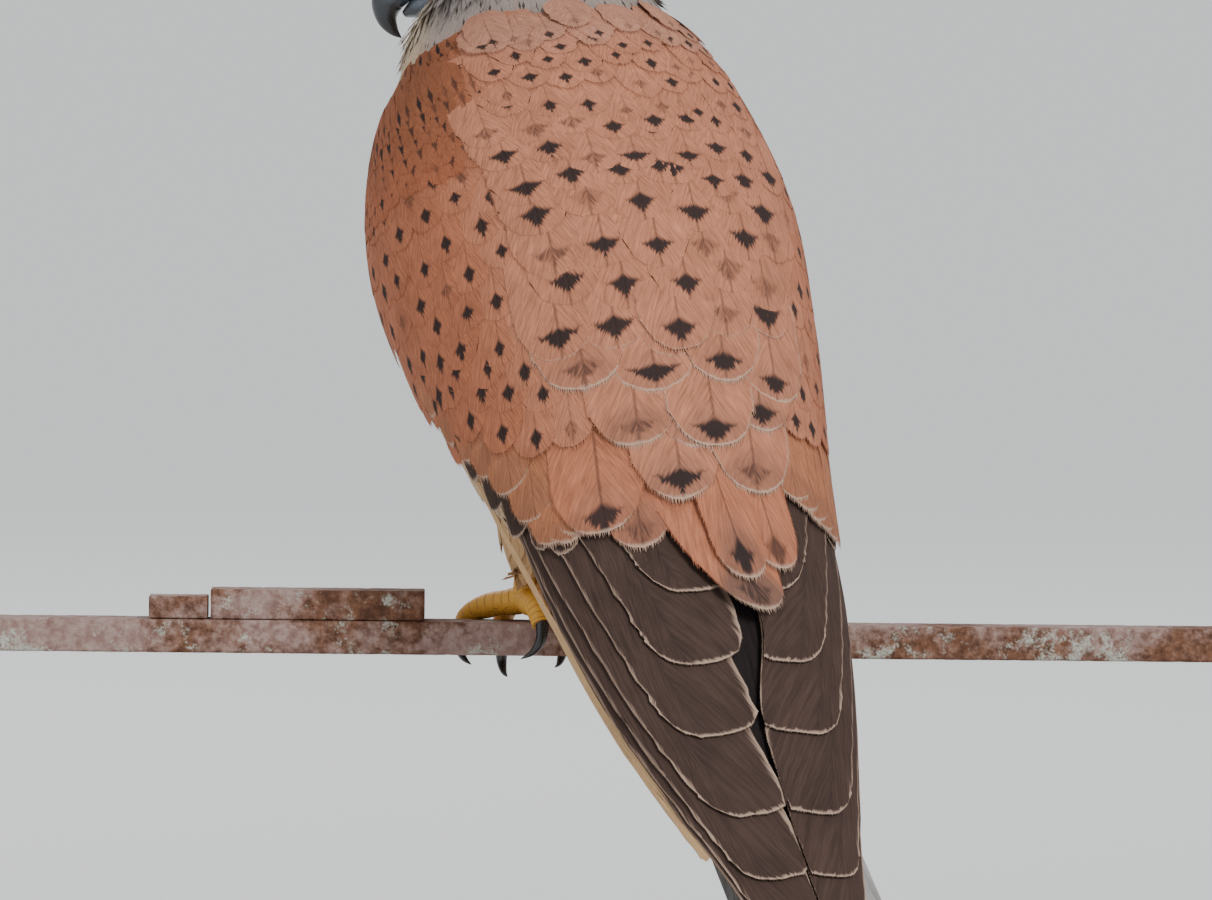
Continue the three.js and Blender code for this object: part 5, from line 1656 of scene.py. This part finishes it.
def makeFeet():
    legMaterial = makeLegMaterial()
    clawMaterial = makeClawMaterial()
    for sideName, side in sides:
        meshes = [makeLimb("shank", side, legs["shank"], legs["shankRadii"], 70, 0, 12)]
        for toe, points in legs["toes"].items():
            pads = 2 if toe == "hind" else 3
            meshes.append(makeLimb(toe, side, points, legs["toeRadii"][:len(points)], 60, pads, 11))
        foot = joinedMesh(f"footSkin_{sideName}", meshes)
        smoothFaces(foot)
        replaced = (f"foot_{sideName}", f"tarsus_{sideName}")
        addPiece(f"footSkin_{sideName}", foot, legMaterial, replaced)
        for toe, points in legs["claws"].items():
            root = np.array(legs["toes"][toe][-1]) * 0.6 + np.array(points[0]) * 0.4
            rings = limbRings(legPoint([root, *points], side), legs["clawRadii"], 30, 18)
            name = f"talon_{toe}_{sideName}"
            addPiece(name, loftMesh(name, rings), clawMaterial, (f"claw_{toe}_{sideName}",))


makeFeet()
print("feet ready")


# Perch: a cut length of worn painted bar with two plates on it, and the plain display stand
perch = {
    "length": 284, "depth": 14, "height": 7.5, "from": -147, "top": 127, "middle": 12,
    "edge": 0.7, "wear": 0.18,
}
plates = (  # piece, node, from, length, depth, height
    ("plateLong", "stand_perch_plate_long", -93.6, 48, 12, 6.7),
    ("plateShort", "stand_perch_plate_short", -107.5, 13.2, 11, 5),
)
plateSeat = {"lift": 0.1, "edge": 0.35, "wear": 0.22}


def roundedBar(name, start, length, depth, height, bottom, edge, wear):
    corner = 4
    outlinePoints = []
    for k, (sy, sz) in enumerate(((1, 1), (-1, 1), (-1, -1), (1, -1))):
        for q in range(corner + 1):
            a = math.pi / 2 * (k + q / corner)
            outlinePoints.append((sy * (depth / 2 - edge) + edge * math.cos(a),
                                  sz * (height / 2 - edge) + edge * math.sin(a)))
        ny, nz = ((-1, 1), (-1, -1), (1, -1), (1, 1))[k]
        y0, z0 = outlinePoints[-1]
        a = math.pi / 2 * (k + 1)
        y1 = ny * (depth / 2 - edge) + edge * math.cos(a)
        z1 = nz * (height / 2 - edge) + edge * math.sin(a)
        outlinePoints += [(mix(y0, y1, q / 5), mix(z0, z1, q / 5)) for q in range(1, 5)]
    section = np.array(outlinePoints)
    x = np.linspace(0, length, max(int(length / 0.8), 8))
    x = np.concatenate([[0], edge * 0.4 + (x - x[0]) * (length - 0.8 * edge) / length, [length]])
    shrink = np.where((x == 0) | (x == length), 1 - 1.2 * edge / height, 1.0)
    points = np.stack([
        np.repeat(start + x, len(section)),
        perch["middle"] + (shrink[:, None] * section[:, 0]).ravel(),
        bottom + height / 2 + (shrink[:, None] * section[:, 1]).ravel()], 1)
    pits = np.array([noise.fractal(Vector(p / 3.5), 0.8, 2.0, 4) for p in points])
    centre = np.array([0, perch["middle"], bottom + height / 2])
    inward = (points - centre) * [0, 1, 1]
    points = points - unit(inward) * (wear * np.clip(pits, 0, 1))[:, None]
    rings = points.reshape(len(x), len(section), 3)
    return loftMesh(name, rings, lambda p: np.asarray(p) / 1000)


def makeRust():
    m = Material("worn painted steel", roughness=0.75, specular=0.3)
    big = m.noise(38.0, detail=5.0, roughness=0.65)
    fine = m.noise(420.0, detail=4.0, roughness=0.7)
    grit = m.noise(1900.0, detail=2.0)
    stained = m.noise(90.0, detail=6.0, roughness=0.75)
    brown = m.blend(fine.smooth(0.3, 0.7), (0.085, 0.034, 0.018), (0.255, 0.115, 0.062))
    mauve = m.blend(fine.smooth(0.35, 0.7), (0.26, 0.155, 0.13), (0.40, 0.285, 0.25))
    pale = m.blend(grit.smooth(0.3, 0.8), (0.36, 0.35, 0.29), (0.55, 0.54, 0.47))
    colour = m.blend((big + fine * 0.25).smooth(0.52, 0.70), brown, mauve)
    colour = m.blend((stained + grit * 0.12).smooth(0.60, 0.70), colour, pale)
    normal = m.bump(fine + grit * 0.4 + stained * 0.5, 0.0004, 0.8)
    return m.finish(colour, roughness=0.62 + fine * 0.3, normal=normal)


def makeWood():
    m = Material("oiled walnut", roughness=0.42, specular=0.4, fixed={
        "Coat Weight": 0.15, "Coat Roughness": 0.3})
    wander = m.noise(6.0, detail=3.0, stretch=(0.4, 1.0, 1.0))
    x, y, z = m.parts(m.place())
    rings = m.noise(1.0, m.joined(x * 3.0, (y + wander * 0.018) * 160.0, z * 160.0), 3.0)
    pores = m.noise(1.0, m.joined(x * 60.0, y * 1400.0, z * 1400.0), 2.0)
    colour = m.blend(rings.smooth(0.3, 0.7), (0.115, 0.050, 0.024), (0.26, 0.125, 0.062))
    colour = m.blend(pores.smooth(0.58, 0.70) * 0.6, colour, (0.035, 0.016, 0.009))
    normal = m.bump(pores * -1.0 + rings * 0.3, 0.00012, 0.5)
    return m.finish(colour, roughness=0.36 + pores * 0.2, normal=normal)


def makeSteel():
    m = Material("brushed steel", roughness=0.3, metallic=1.0)
    brush = m.noise(1.0, detail=3.0, stretch=(900.0, 900.0, 40.0))
    colour = m.tone((0.62, 0.62, 0.63), 0.85 + brush * 0.3)
    return m.finish(colour, roughness=0.22 + brush * 0.2, normal=m.bump(brush, 0.00005, 0.3))


def makeStand():
    rust = makeRust()
    mesh = roundedBar("perchBar", perch["from"], perch["length"], perch["depth"], perch["height"],
                      perch["top"] - perch["height"], perch["edge"], perch["wear"])
    addPiece("perchBar", mesh, rust, ("stand_perch",))
    for name, node, start, length, depth, height in plates:
        mesh = roundedBar(name, start, length, depth, height, perch["top"] + plateSeat["lift"],
                          plateSeat["edge"], plateSeat["wear"])
        addPiece(name, mesh, rust, (node,))
    wood, steel = makeWood(), makeSteel()
    for node, material in (("stand_base", wood), ("stand_collar", steel), ("stand_rod", steel)):
        for slot in bpy.data.objects[node].material_slots:
            slot.material = material


makeStand()
print("stand ready")
